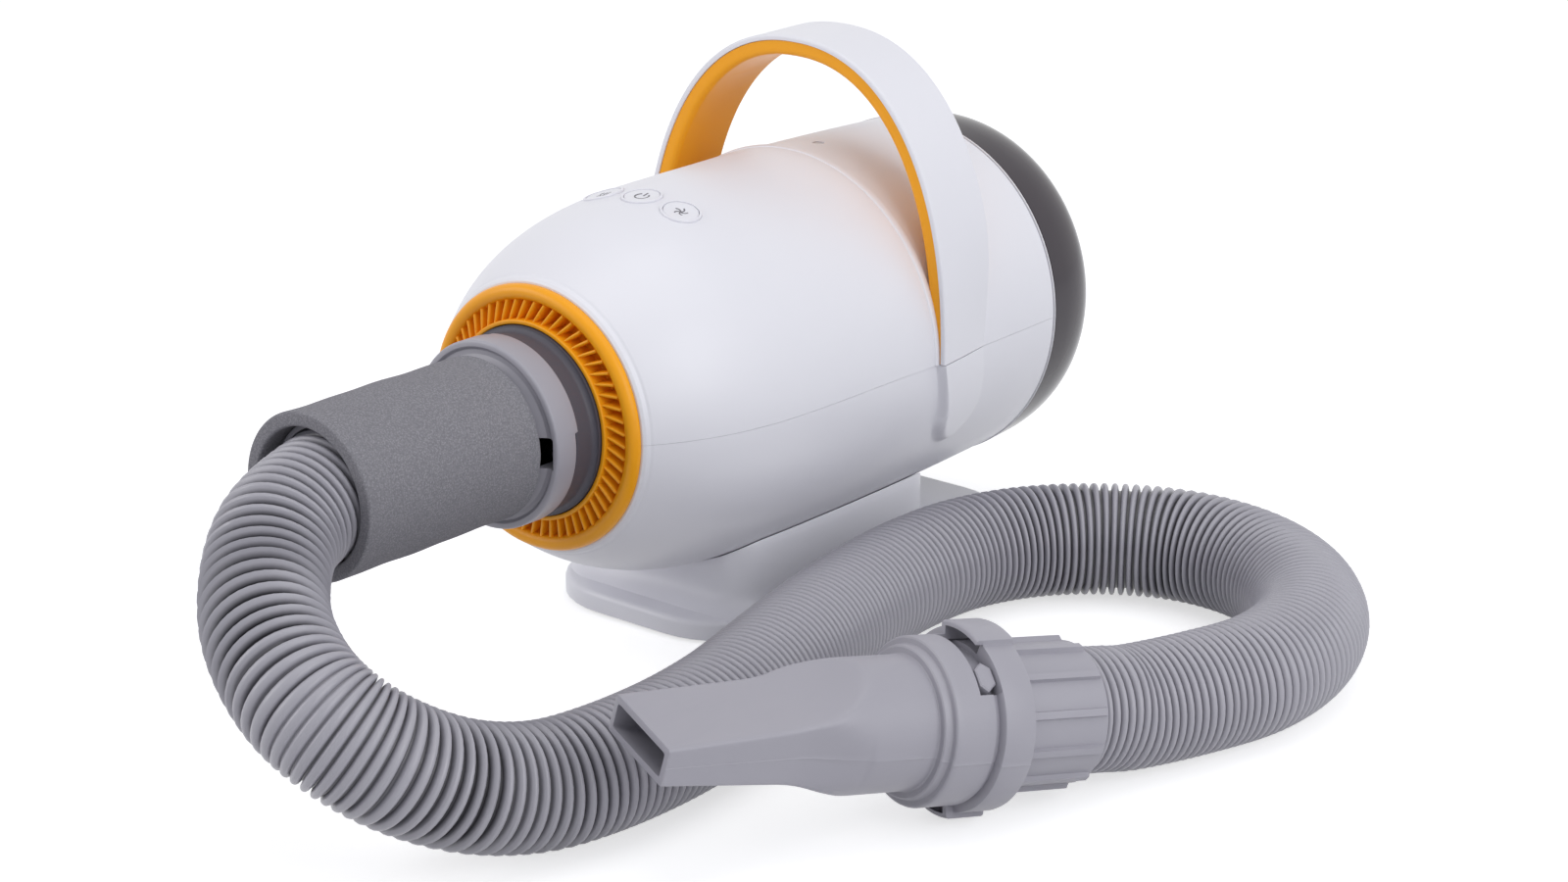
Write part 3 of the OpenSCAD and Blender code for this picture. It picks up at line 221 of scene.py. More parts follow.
# light tone, dark tone, roughness range, grain size, grain depth, and what else differs
mouldings = {
    "whiteShell": ((0.805, 0.800, 0.850), (0.785, 0.780, 0.832), (0.32, 0.44), 1100.0, 0.00001),
    "amberTrim": ((0.960, 0.402, 0.010), (0.930, 0.378, 0.008), (0.30, 0.42), 1100.0, 0.00001,
                  {"cloud": 14.0, "gloss": 0.3}),
    "greyPlastic": ((0.365, 0.355, 0.400), (0.340, 0.330, 0.376), (0.36, 0.50), 1500.0, 0.00003),
    # the hose's deep colour is painted shade in its folds
    "hoseGrey": ((0.385, 0.376, 0.420), (0.355, 0.346, 0.388), (0.30, 0.42), 800.0, 0.00003,
                 {"deep": (0.030, 0.029, 0.034)}),
    "darkPlastic": ((0.092, 0.087, 0.108), (0.078, 0.074, 0.093), (0.42, 0.56), 1200.0, 0.00003,
                    {"gloss": 0.3}),
    "smokeCover": ((0.052, 0.043, 0.052), (0.041, 0.034, 0.042), (0.10, 0.18), 600.0, 0.000003,
                   {"coat": 0.15, "gloss": 0.25}),
    "paleTrim": ((0.760, 0.755, 0.790), (0.730, 0.725, 0.760), (0.25, 0.35), 1100.0, 0.00001),
    "lensTint": ((0.600, 0.590, 0.630), (0.570, 0.560, 0.600), (0.25, 0.35), 1100.0, 0.00001),
    "rubberBlack": ((0.040, 0.040, 0.043), (0.030, 0.030, 0.033), (0.62, 0.80), 1400.0, 0.00006),
    "iconInk": ((0.180, 0.175, 0.195), (0.150, 0.146, 0.165), (0.45, 0.55), 1500.0, 0.00001),
    "boardGreen": ((0.020, 0.110, 0.050), (0.016, 0.090, 0.042), (0.30, 0.45), 700.0, 0.00002),
    "micaSheet": ((0.60, 0.50, 0.34), (0.52, 0.43, 0.29), (0.35, 0.55), 400.0, 0.00004),
    "filterMat": ((0.050, 0.050, 0.055), (0.030, 0.030, 0.034), (0.85, 0.95), 500.0, 0.0004),
}
finishes = {name: mouldedFinish(name, *row[:5], **dict(*row[5:])) for name, row in mouldings.items()}
finishes["foamGrey"] = foamFinish("foamGrey", (0.205, 0.200, 0.222), (0.355, 0.350, 0.375))
metals = {
    "steel": ((0.56, 0.57, 0.59), (0.50, 0.51, 0.53), (0.28, 0.42)),
    "alloy": ((0.70, 0.71, 0.72), (0.64, 0.65, 0.66), (0.30, 0.45)),
    "copperWinding": ((0.62, 0.27, 0.12), (0.48, 0.20, 0.09), (0.35, 0.50), 700.0),
}
finishes.update({name: metalFinish(name, *row) for name, row in metals.items()})
print("finishes:", len(finishes))

# CAD pieces that are used as they are
cadFinishes = {
    "whiteShell": "foot_bottom",
    "darkPlastic": "intake_guard",
    "lensTint": "status_lens",
    "rubberBlack": "foot_pad cord_gland cuff_seal front_mount rear_mount",
    "steel": "motor_can bearing_front bearing_rear motor_shaft armature heater_duct heater_coil",
    "alloy": "impeller fan_shroud",
    "copperWinding": "stator",
    "boardGreen": "control_board",
    "micaSheet": "heater_frame",
    "filterMat": "intake_filter",
}
for finish, members in cadFinishes.items():
    for member in members.split():
        slots = nodes[member].data.materials
        slots.clear()
        slots.append(finishes[finish])


def meshFrom(name, points, faces):
    mesh = bpy.data.meshes.new(name)
    scaled = [tuple(float(c) * mm for c in p) for p in points]
    mesh.from_pydata(scaled, [], [tuple(f) for f in faces])
    work = bmesh.new()
    work.from_mesh(mesh)
    bmesh.ops.remove_doubles(work, verts=work.verts, dist=0.000002)
    bmesh.ops.recalc_face_normals(work, faces=work.faces)
    work.to_mesh(mesh)
    work.free()
    return mesh


def smoothed(mesh, sharpDeg):
    mesh.polygons.foreach_set("use_smooth", [True] * len(mesh.polygons))
    mesh.set_sharp_from_angle(angle=radians(sharpDeg))


def addPiece(name, solid, finish, sharpDeg, replaced=(), body="housing"):
    mesh = meshFrom(name, *solid)
    smoothed(mesh, sharpDeg)
    mesh.materials.append(finishes[finish])
    piece = addObject(name, mesh)
    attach(piece, body)
    if replaced:
        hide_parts(*replaced)
    return piece


def evenNormals(piece):
    weigh = piece.modifiers.new("evenNormals", "WEIGHTED_NORMAL")
    weigh.keep_sharp = True
    weigh.weight = 60


def cutAway(piece, sharpDeg, *solids):
    # takes solids out of a piece and leaves a plain mesh
    tools = [addObject("cutTool", meshFrom("cutTool", *solid)) for solid in solids]
    for tool in tools:
        cut = piece.modifiers.new("cut", "BOOLEAN")
        cut.operation = "DIFFERENCE"
        cut.solver = "EXACT"
        cut.object = tool
    bpy.context.view_layer.update()
    ready = piece.evaluated_get(bpy.context.evaluated_depsgraph_get())
    shaped = bpy.data.meshes.new_from_object(ready)
    piece.modifiers.clear()
    oldMeshes = [piece.data] + [tool.data for tool in tools]
    piece.data = shaped
    for tool in tools:
        bpy.data.objects.remove(tool)
    for mesh in oldMeshes:
        bpy.data.meshes.remove(mesh)
    smoothed(shaped, sharpDeg)


def ringFaces(rings, sides, offset=0, loop=False):
    faces = []
    for i in range(rings if loop else rings - 1):
        a = offset + i * sides
        b = offset + ((i + 1) % rings) * sides
        for k in range(sides):
            n = (k + 1) % sides
            faces.append((a + k, a + n, b + n, b + k))
    return faces


def ringSolid(points, sides):
    # closed rings of points in a row, with a face over the first and the last
    last = len(points) - sides
    ends = [tuple(range(sides)), tuple(range(last, last + sides))]
    return points, ringFaces(len(points) // sides, sides) + ends


def loopSolid(points, sides):
    # closed rings of points that come back to the first
    return points, ringFaces(len(points) // sides, sides, loop=True)


def filleted(corners, steps=5):
    # corners are (radius from axis, place along axis, corner rounding)
    out = []
    count = len(corners)
    for i, (r, y, rounding) in enumerate(corners):
        here = Vector((r, y))
        before = Vector(corners[i - 1][:2]) - here
        after = Vector(corners[(i + 1) % count][:2]) - here
        if rounding <= 0 or before.angle(after) > radians(178):
            out.append((r, y))
            continue
        reach = min(rounding / tan(before.angle(after) / 2), before.length * 0.49,
                    after.length * 0.49)
        p0, p1 = here + before.normalized() * reach, here + after.normalized() * reach
        for s in range(steps + 1):
            t = s / steps
            p = p0 * (1 - t) ** 2 + here * 2 * t * (1 - t) + p1 * t ** 2
            out.append((p.x, p.y))
    return out


def turnedPoint(r, y, deg, across=0.0):
    # a point round the body's axis, and across at right angles to its radius
    a = radians(deg)
    c, s = cos(a), sin(a)
    return (r * c - across * s, y, axisHeight + r * s + across * c)


def turnedSolid(profile, startDeg=0.0, endDeg=360.0, stepDeg=2.5, place=turnedPoint):
    # sweeps a closed profile of (radius, place along axis) round the axis
    steps = max(3, int(round((endDeg - startDeg) / stepDeg)))
    whole = abs(endDeg - startDeg) >= 360.0
    angles = [startDeg + (endDeg - startDeg) * i / steps for i in range(steps + (not whole))]
    points = [place(r, y, a) for a in angles for r, y in profile]
    return (loopSolid if whole else ringSolid)(points, len(profile))


def sectorSolid(radii, degs, span, place):
    # part of a thick ring between two radii, two angles and two places along the axis
    profile = [(radii[0], span[0]), (radii[1], span[0]), (radii[1], span[1]), (radii[0], span[1])]
    return turnedSolid(profile, *degs, 1.5, place)


def joined(parts):
    points, faces = [], []
    for morePoints, moreFaces in parts:
        base = len(points)
        points += list(morePoints)
        faces += [tuple(i + base for i in f) for f in moreFaces]
    return points, faces


def smoothStep(low, high, value):
    t = min(max((value - low) / (high - low), 0.0), 1.0)
    return t * t * (3 - 2 * t)


def places(low, high, step):
    count = max(1, int(round((high - low) / step)))
    return [low + (high - low) * i / count for i in range(count + 1)]


def between(p, q, count):
    # evenly spaced points from p towards q, without q itself
    return [(p[0] + (q[0] - p[0]) * k / count, p[1] + (q[1] - p[1]) * k / count)
            for k in range(count)]


def arcPath(centre, radius, startDeg, endDeg, steps):
    degs = [startDeg + (endDeg - startDeg) * k / steps for k in range(steps + 1)]
    return [(centre[0] + radius * cos(radians(deg)),
             centre[1] + radius * sin(radians(deg))) for deg in degs]


def bandShare(deg, low, high, edge):
    # 1 between two angles, 0 outside them, with a narrow slope at each
    mid, half = (low + high) / 2, (high - low) / 2
    away = abs((deg - mid + 180) % 360 - 180)
    return 1.0 - smoothStep(half, half + edge, away)


def angleList(step, edges):
    # even angles with a few close ones at each edge
    degs = {round(k * step, 3) for k in range(int(round(360 / step)))}
    for edge, offsets in edges:
        degs |= {round((edge + offset) % 360, 3) for offset in offsets}
    return sorted(degs)


nozzlePlace = {"mouth": (181.0, -309.0, 61.797), "yaw": 71.0, "pitch": -9.0, "roll": 10.5}


def nozzleFrame():
    # from the nozzle's own axes, with its length along Z, to the table's
    turn = Matrix.Identity(3)
    steps = ((nozzlePlace["yaw"], "Z"), (-nozzlePlace["pitch"], "Y"), (nozzlePlace["roll"], "X"),
             (90, "Z"), (90, "X"))
    for deg, axis in steps:
        turn = turn @ Matrix.Rotation(radians(deg), 3, axis)
    return turn


nozzleTurn = nozzleFrame()
nozzleMouth = Vector(nozzlePlace["mouth"])
nozzleDir = nozzleTurn @ Vector((0, 0, 1))


def nozzlePoint(r, along, deg):
    a = radians(deg)
    return nozzleMouth + nozzleTurn @ Vector((r * cos(a), r * sin(a), along))


cuff = {
    "spigot": (30.3, 123.5),  # radius, and where it starts
    "sealGroove": (126.2, 128.8, 28.2),  # from, to, radius
    "lugGroove": (130.4, 139.4, 28.2),
    "shoulder": (153.5, 155.9, 31.8),
    "grip": (27.9, 193.5),  # radius, and where it ends
    "pocketRadius": 25.4,
    "stop": (21.0, 159.3),  # what the hose's end stands against
    "ribs": 12,
    "ribRise": 2.0,
    "ribHalf": 2.7,  # half width of a rib's top, in degrees
    "ribFlank": 0.7,
    "ribPlaces": (156.6, 160.0, 170.0, 180.0, 191.6, 192.6),
    "ribEdges": (2.3, 2.7, 3.1, 3.5, 3.9),  # angles off a rib's middle that follow its flank
    "ribGaps": (8.0, 12.0, 16.0, 20.0, 24.0),
    "lugDegs": (121.0, 301.0),
    "lugSpan": (131.3, 138.5),
    "lugHalf": 6.3,
    "lugEnds": (3.6, 3.4),  # half widths of its two ends
    "lugTop": 33.7,
    "lugFoot": 27.8,
}


def cuffRibShare(deg):
    # 1 on a rib, 0 between ribs, with steep flanks
    pitch = 360.0 / cuff["ribs"]
    away = abs((deg + pitch / 2) % pitch - pitch / 2)
    return 1.0 - smoothStep(cuff["ribHalf"], cuff["ribHalf"] + cuff["ribFlank"], away)


def lugSolid(deg):
    # six-sided lug with a small bevel round its top
    start, end = cuff["lugSpan"]
    middle, reach, top = (start + end) / 2, (end - start) / 2, cuff["lugTop"]
    wide, narrow = cuff["lugEnds"]
    corners = [(reach, -wide), (0.4, -cuff["lugHalf"]), (-reach, -narrow)]
    corners += [(-along, -across) for along, across in corners]
    points = []
    for r, shrink in ((cuff["lugFoot"], 1.0), (top - 0.5, 1.0), (top, 0.88)):
        for along, across in corners:
            turn = degrees(across * shrink / r)
            points.append(nozzlePoint(r, middle + along * shrink, deg + turn))
    return ringSolid(points, len(corners))


def makeCuff():
    spigot, spigotStart = cuff["spigot"]
    grip, gripEnd = cuff["grip"]
    stopRadius, stop = cuff["stop"]
    pocket, ribEnd = cuff["pocketRadius"], cuff["ribPlaces"][-1]
    shoulderStart, shoulderEnd, shoulderR = cuff["shoulder"]
    corners = [(stopRadius, spigotStart, 0.3), (spigot, spigotStart, 1.0)]
    for start, end, radius in (cuff["sealGroove"], cuff["lugGroove"]):
        corners += [(spigot, start, 0.1), (radius, start, 0.1), (radius, end, 0.1), (spigot, end, 0.1)]
    corners += [(spigot, shoulderStart, 0.2), (shoulderR, shoulderStart, 0.4),
                (shoulderR, shoulderEnd, 0.8), (grip, shoulderEnd + 0.4, 0.4)]
    corners += [(grip, along, 0.0) for along in cuff["ribPlaces"]]
    corners += [(grip, gripEnd, 0.6), (pocket, gripEnd, 0.3), (pocket, stop, 0.2),
                (stopRadius, stop, 0.2)]
    ring = filleted(corners)
    pitch = 360.0 / cuff["ribs"]
    offsets = {0.0, *cuff["ribEdges"], *[-edge for edge in cuff["ribEdges"]], *cuff["ribGaps"]}
    degs = sorted((pitch * i + offset) % 360 for i in range(cuff["ribs"]) for offset in offsets)
    points = []
    for deg in degs:
        share = cuffRibShare(deg)
        for r, along in ring:
            onGrip = pocket + 1.5 < r < grip + 0.01 and along > shoulderEnd + 0.35
            endShare = 1.0 - smoothStep(ribEnd - 1.0, ribEnd + 0.3, along)
            lift = cuff["ribRise"] * share * endShare if onGrip else 0.0
            points.append(nozzlePoint(r + lift, along, deg))
    parts = [loopSolid(points, len(ring))] + [lugSolid(deg) for deg in cuff["lugDegs"]]
    addPiece("cuffGrip", joined(parts), "greyPlastic", 32.0, ["hose_cuff"])


makeCuff()

hose = {
    "radius": 25.0,
    "boreRadius": 20.0,
    "sides": 40,
    "beadHalf": 1.6,  # half width of a rib's round bead
    "beadPower": 2.6,
    "grooveTight": 3.0,  # groove depth where ribs touch
    "grooveOpen": 4.4,  # groove depth where the hose is stretched
    "start": -216.3,
    "barrelEnd": -287.7,
}
# distance along the hose, and the spacing of its ribs there: it is stretched where it hangs
ribSpacing = [
    (0, 4.6), (85, 4.6), (108, 5.4), (125, 6.2), (145, 8.6), (168, 6.7), (186, 6.4), (200, 4.6),
    (212, 3.3), (240, 4.1), (255, 5.2), (270, 6.3), (285, 5.4), (312, 5.5), (340, 3.9), (460, 3.9),
    (520, 3.5), (600, 4.1), (700, 4.4), (750, 5.0), (820, 4.2), (900, 3.6), (1040, 3.8),
]
ribPhases = (0.0, 0.17, 0.29, 0.38, 0.45, 0.55, 0.62, 0.71, 0.83)
# straight out of the connector, down to the table, round its loop and into the cuff
route = [(0.0, hose["start"] - ahead, axisHeight) for ahead in (0, 27, 54)]
route += [
    (0.0, hose["barrelEnd"], axisHeight),
    (8, -321, 103), (27, -347, 91), (54, -368, 82), (84, -378, 70), (106, -366, 53), (118, -338, 36),
    (126, -306, 26.5), (132, -273, 25), (133, -238, 25), (129, -203, 25), (121, -169, 25),
    (112, -135, 25), (104, -101, 25), (98, -67, 25), (95, -32, 25), (98, 3, 25), (112, 35, 25),
    (137, 60, 25), (168, 74, 25), (202, 73, 25), (233, 58, 25), (257, 32, 25), (270, 0, 25),
    (272, -34, 25), (264, -67, 25.4),
]
route += [tuple(nozzleMouth + nozzleDir * (cuff["grip"][1] + behind)) for behind in (32, 16, -9)]
route.append(tuple(nozzleMouth + nozzleDir * cuff["stop"][1]))


def curveThrough(given, fine=24):
    pts = [np.array(p, float) for p in given]
    pts = [2 * pts[0] - pts[1]] + pts + [2 * pts[-1] - pts[-2]]
    out = []
    for i in range(1, len(pts) - 2):
        p0, p1, p2, p3 = pts[i - 1:i + 3]
        for k in range(fine):
            u = k / fine
            out.append(0.5 * (2 * p1 + (p2 - p0) * u + (2 * p0 - 5 * p1 + 4 * p2 - p3) * u ** 2
                              + (3 * p1 - p0 - 3 * p2 + p3) * u ** 3))
    out.append(pts[-2])
    out = np.array(out)
    out[:, 2] = np.maximum(out[:, 2], hose["radius"])
    return out


def ribStarts(total):
    # places of the ribs, each a spacing further along than the one before
    at, starts = 0.0, [0.0]
    keys, gaps = zip(*ribSpacing)
    while at < total:
        at += float(np.interp(at, keys, gaps))
        starts.append(min(at, total))
    return starts


def ribRadius(phase, spacing):
    # round beads with a narrow dark groove between, deeper and wider where the hose is stretched
    stretch = min(max((spacing - 3.5) / 4.0, 0.0), 1.0)
    depth = hose["grooveTight"] + (hose["grooveOpen"] - hose["grooveTight"]) * stretch
    half = min(hose["beadHalf"], spacing * 0.47)
    share = min(min(phase, 1.0 - phase) * spacing / half, 1.0)
    return hose["radius"] - depth * (1.0 - sqrt(1.0 - share ** hose["beadPower"]))


def makeHose():
    fine = curveThrough(route)
    steps = np.linalg.norm(np.diff(fine, axis=0), axis=1)
    run = np.concatenate([[0.0], np.cumsum(steps)])
    total = float(run[-1])

    def at(s):
        return np.array([np.interp(s, run, fine[:, c]) for c in range(3)]).T

    starts = ribStarts(total)
    stations = []
    for start, end in zip(starts, starts[1:]):
        if end - start >= 1.0:
            stations += [(start + (end - start) * phase, ribRadius(phase, end - start))
                         for phase in ribPhases]
    stations.append((total, hose["radius"]))
    along = np.array([s for s, r in stations])
    mids = at(along)
    ahead = at(np.minimum(along + 2.0, total)) - at(np.maximum(along - 2.0, 0.0))
    ahead /= np.linalg.norm(ahead, axis=1)[:, None]
    side = np.cross(ahead, (0, 0, 1))
    side /= np.linalg.norm(side, axis=1)[:, None]
    up = np.cross(side, ahead)
    sides, last = hose["sides"], len(stations) - 1
    turns = np.linspace(0, 2 * pi, sides, endpoint=False)

    def ringAt(i, r):
        return [mids[i] + r * (cos(a) * side[i] + sin(a) * up[i]) for a in turns]

    boreRings = list(range(0, last + 1, len(ribPhases)))
    if boreRings[-1] != last:
        boreRings.append(last)
    points = [p for i, (s, r) in enumerate(stations) for p in ringAt(i, r)]
    boreStart = len(points)
    points += [p for i in boreRings for p in ringAt(i, hose["boreRadius"])]
    faces = ringFaces(len(stations), sides) + ringFaces(len(boreRings), sides, boreStart)
    for outer, inner in ((0, boreStart), (last * sides, boreStart + (len(boreRings) - 1) * sides)):
        for k in range(sides):
            n = (k + 1) % sides
            faces.append((outer + k, outer + n, inner + n, inner + k))
    piece = addPiece("ribbedHose", (points, faces), "hoseGrey", 60.0, ["hose"])
    # how high each point stands from fold to bead: this drives the painted shade in the folds
    deepest = hose["radius"] - hose["grooveOpen"]
    depths = [(r - deepest) / (hose["radius"] - deepest) for s, r in stations for _ in turns]
    depths += [0.0] * (len(points) - len(depths))
    share = piece.data.attributes.new("ribShare", "FLOAT", "POINT")
    share.data.foreach_set("value", depths)
    path = [tuple(p * mm) for p in at(np.linspace(0.0, total, 400))]
    print("hose length %.0f mm, %d ribs" % (total, len(starts) - 1))


makeHose()

foam = {
    "outer": 34.9,
    "bore": 28.6,
    "front": -297.8,
    "rear": -201.1,
    "edge": 1.3,
    "sides": 144,
    "cell": 2.0,  # largest step along the section
    # height, turns along, turns around and phase of each slow wave
    "waves": ((0.16, 0.11, 2, 0.0), (0.12, 0.23, -3, 1.0)),
    "ragged": ((0.14, 0.0, 17, 0.0), (0.1, 0.0, 29, 2.0)),  # the same at the cut end
}


def wavy(waves, y, a):
    return sum(rise * sin(y * along + a * around + phase) for rise, along, around, phase in waves)


def makeFoam():
    # a cut foam tube: soft edges and a slight unevenness along its length
    f = foam
    ring = filleted([(f["bore"], f["rear"], 0.6), (f["outer"], f["rear"], f["edge"]),
                     (f["outer"], f["front"], f["edge"]), (f["bore"], f["front"], f["edge"])])
    profile = []
    for here, following in zip(ring, ring[1:] + ring[:1]):
        reach = hypot(following[0] - here[0], following[1] - here[1])
        profile += between(here, following, max(1, int(reach / f["cell"])))
    points = []
    for i in range(f["sides"]):
        a = 2 * pi * i / f["sides"]
        for r, y in profile:
            swell = wavy(f["waves"], y, a) - 0.25 if r > 32 else 0.0
            ragged = wavy(f["ragged"], y, a) if y > f["rear"] - 1.0 else 0.0
            points.append(turnedPoint(r + swell, y + ragged - 0.1, degrees(a)))
    piece = addPiece("foamTube", loopSolid(points, len(profile)), "foamGrey", 60.0,
                     ["foam_sleeve"], "connector")


makeFoam()

coupling = {
    "neck": 34.3,
    "neckBore": 30.0,
    "neckEnd": -152.0,
    "flange": 40.0,
    "flangeRear": -186.0,
    "flangeFront": -197.8,
    "lipInner": 37.6,
    "lipReach": 1.7,
    "lipDegs": (10.0, 100.0),
    # dished front of the flange: radius, place behind its edge, rounding
    "dish": ((37.4, 0.1, 0.8), (36.2, 1.3, 0.8), (34.2, 1.0, 0.6), (31.4, -1.0, 0.3)),
    "barrel": 28.2,
    "barrelStart": -201.5,
    "barrelBore": 26.0,
    "barrelEnd": -287.7,
    # the step that the hose stands against, and the cone behind it
    "seat": ((26.0, -216.0, 0.2), (21.0, -216.0, 0.2), (21.0, -214.3, 0.3), (26.2, -199.7, 0.5),
             (30.0, -195.8, 0.5)),
    "lugDegs": (0.0, 120.0, 240.0),
    "lugHalf": 8.0,
    "lugSpan": (-163.0, -157.0),
    "lugRise": 2.6,
    "notch": ((26.5, -201.7, 103.0), (37.5, -187.0, 116.0)),
    "endSlots": 6,
    "firstSlot": -15,
    "slotWidth": 3.6,
    "slotLength": 4.0,
}


def boxSolid(low, high, place=Vector):
    points = [place((x, y, z)) for x in (low[0], high[0]) for y in (low[1], high[1])
              for z in (low[2], high[2])]
    faces = [(0, 1, 3, 2), (4, 6, 7, 5), (0, 4, 5, 1), (2, 3, 7, 6), (0, 2, 6, 4), (1, 5, 7, 3)]
    return points, faces


def radialBox(radii, span, width, deg):
    # box that points outwards from the body's axis at an angle
    return boxSolid((radii[0], span[0], -width / 2), (radii[1], span[1], width / 2),
                    lambda p: turnedPoint(p[0], p[1], deg, p[2]))


def makeCoupling():
    c = coupling
    neck, half = c["neck"], c["lugHalf"]
    rear, front = c["flangeRear"], c["flangeFront"]
    lugFront, lugRear = c["lugSpan"]
    ring = filleted([
        (c["neckBore"], c["neckEnd"], 0.3), (neck, c["neckEnd"], 0.6), (neck, lugRear + 0.05, 0.0),
        (neck + 0.001, lugRear, 0.0), (neck + 0.001, lugFront, 0.0), (neck, lugFront - 0.05, 0.0),
        (neck, rear, 0.2), (c["lipInner"], rear, 0.0), (c["lipInner"] + 0.05, rear, 0.0),
        (c["flange"], rear, 0.9), (c["flange"], front + 0.4, 2.4),
        *[(r, front + behind, rounding) for r, behind, rounding in c["dish"]],
        (c["barrel"], c["barrelStart"], 0.3), (c["barrel"], c["barrelEnd"], 0.5),
        (c["barrelBore"], c["barrelEnd"], 0.3), *c["seat"],
    ])
    edges = [(lug + side * half, (-0.4 * side, 0.0, 0.4 * side))
             for lug in c["lugDegs"] for side in (-1, 1)]
    degs = angleList(2.5, edges + [(deg, (-0.8, -0.4, 0.0, 0.4, 0.8)) for deg in c["lipDegs"]])
    points = []
    for deg in degs:
        lug = max(bandShare(deg, at - half, at + half, 0.4) for at in c["lugDegs"])
        lip = bandShare(deg, *c["lipDegs"], 0.8)
        for r, y in ring:
            if lugFront - 0.01 <= y <= lugRear + 0.01 and r > neck - 0.1:
                r += c["lugRise"] * lug
            elif r > c["lipInner"] and y > rear - 1.5:
                y += c["lipReach"] * lip
            points.append(turnedPoint(r, y, deg))
    piece = addPiece("hoseCoupling", loopSolid(points, len(ring)), "greyPlastic", 30.0,
                     ["hose_connector"], "connector")
    slots = [radialBox((c["barrelBore"] - 1, c["barrel"] + 1),
                       (c["barrelEnd"] - 1, c["barrelEnd"] + c["slotLength"]), c["slotWidth"],
                       c["firstSlot"] - 60 * k) for k in range(c["endSlots"])]
    cutAway(piece, 30.0, boxSolid(*c["notch"]), joined(slots))


makeCoupling()
print("hose, foam and coupling made")

grille = {
    "tube": (53.8, -167.0),  # centre of the front ring's round section
    "tubeRadius": 3.4,
    "seat": (55.05, -166.15),
    "lip": (41.0, 43.0),
    "lipFront": -172.5,
    "floor": -163.0,
    "back": -161.0,
    "vaneOuter": 50.4,
    "vanes": 60,
    "vaneMid": 46.7,
    "vaneReach": 4.6,
    "vaneHalf": 0.72,
    "vaneSlant": 24.0,
    "vaneTop": (-171.5, -169.5),  # front edge of a vane at its inner and outer ends
    "vaneShares": (0.0, 0.12, 0.3, 0.5, 0.7, 0.88, 1.0),
    # a vane's section: side, and how far below its edge, both in half widths
    "vaneEdge": ((-1, 1.0), (-0.8, 0.42), (-0.4, 0.08), (0, 0.0), (0.4, 0.08), (0.8, 0.42), (1, 1.0)),
}


def vaneSolid(deg):
    # a thin blade with a rounded front edge and a narrower inner end, leaning off the radial line
    g = grille
    lean = radians(g["vaneSlant"])
    inner, outer = g["vaneTop"]
    points = []
    for share in g["vaneShares"]:
        u = g["vaneReach"] * (2 * share - 1)
        half = g["vaneHalf"] * (0.5 + 0.5 * smoothStep(0.0, 0.35, share))
        top = inner + (outer - inner) * share
        section = [(side * half, top + drop * half) for side, drop in g["vaneEdge"]]
        for v, y in [(-half, g["floor"] + 1.0), *section, (half, g["floor"] + 1.0)]:
            out = g["vaneMid"] + u * cos(lean) + v * sin(lean)
            points.append(turnedPoint(out, y, deg, -u * sin(lean) + v * cos(lean)))
    return ringSolid(points, len(g["vaneEdge"]) + 2)


def makeGrille():
    g = grille
    inner, outer = g["lip"]
    (seatR, seatY), bend = g["seat"], g["tubeRadius"]
    ring = filleted([(inner, g["back"], 0.3), (inner, g["lipFront"], 0.8), (outer, g["lipFront"], 0.8),
                     (outer, g["floor"], 0.3), (g["vaneOuter"], g["floor"], 0.3)])
    # the round section runs from its inner side over the front to its flat back
    last = 180.0 + degrees(asin((seatY - g["tube"][1]) / bend))
    ring += arcPath(g["tube"], -bend, 0.0, last, 24) + [(seatR, seatY), (seatR, g["back"])]
    vanes = [vaneSolid(360.0 * k / g["vanes"]) for k in range(g["vanes"])]
    solid = joined([turnedSolid(ring, stepDeg=2.0)] + vanes)
    addPiece("ventRing", solid, "amberTrim", 34.0, ["front_grille"])


makeGrille()

collar = {
    "bore": 34.6,
    "stub": 38.2,
    "stubFront": -184.0,
    "rim": 40.7,
    "rimFront": -173.5,
    "flare": 2.5,
    "back": -161.0,
    "flangeRadius": 53.8,
    "flangeBack": -158.0,
    "tailRadius": 44.9,
    "tailEnd": -148.0,
    "groove": (-164.0, -156.0, 37.3),  # front, rear, radius
    "entryDegs": (-36.0, -156.0, -276.0),
    "entryHalf": 9.0,
}


def makeCollar():
    c = collar
    bore, flare, tail = c["bore"], c["flare"], c["tailRadius"]
    grooveFront, grooveRear, grooveR = c["groove"]
    ring = filleted([(bore, grooveFront, 0.2), (bore, c["stubFront"], 0.5),
                     (c["stub"], c["stubFront"], 0.7)])
    for k in range(13):
        a = radians(7.5 * k)
        ring.append((c["rim"] - flare * cos(a), c["rimFront"] - flare * (1 - sin(a))))
    ring += filleted([
        (c["rim"], c["rimFront"] + 0.4, 0.0), (c["rim"], c["back"], 0.2),
        (c["flangeRadius"], c["back"], 0.4), (c["flangeRadius"], c["flangeBack"], 0.4),
        (tail, c["flangeBack"], 0.2), (tail, c["tailEnd"], 0.4), (bore, c["tailEnd"], 0.5),
        (bore, grooveRear, 0.2), (grooveR, grooveRear, 0.2), (grooveR, grooveFront, 0.2),
    ])
    piece = addPiece("outletCup", turnedSolid(ring), "darkPlastic", 30.0, ["outlet_collar"])
    span = (c["stubFront"] - 1, grooveFront + 1)
    entries = [sectorSolid((bore - 1, grooveR), (deg - c["entryHalf"], deg + c["entryHalf"]), span,
                           turnedPoint) for deg in c["entryDegs"]]
    cutAway(piece, 30.0, joined(entries))


makeCollar()
print("outlet made")

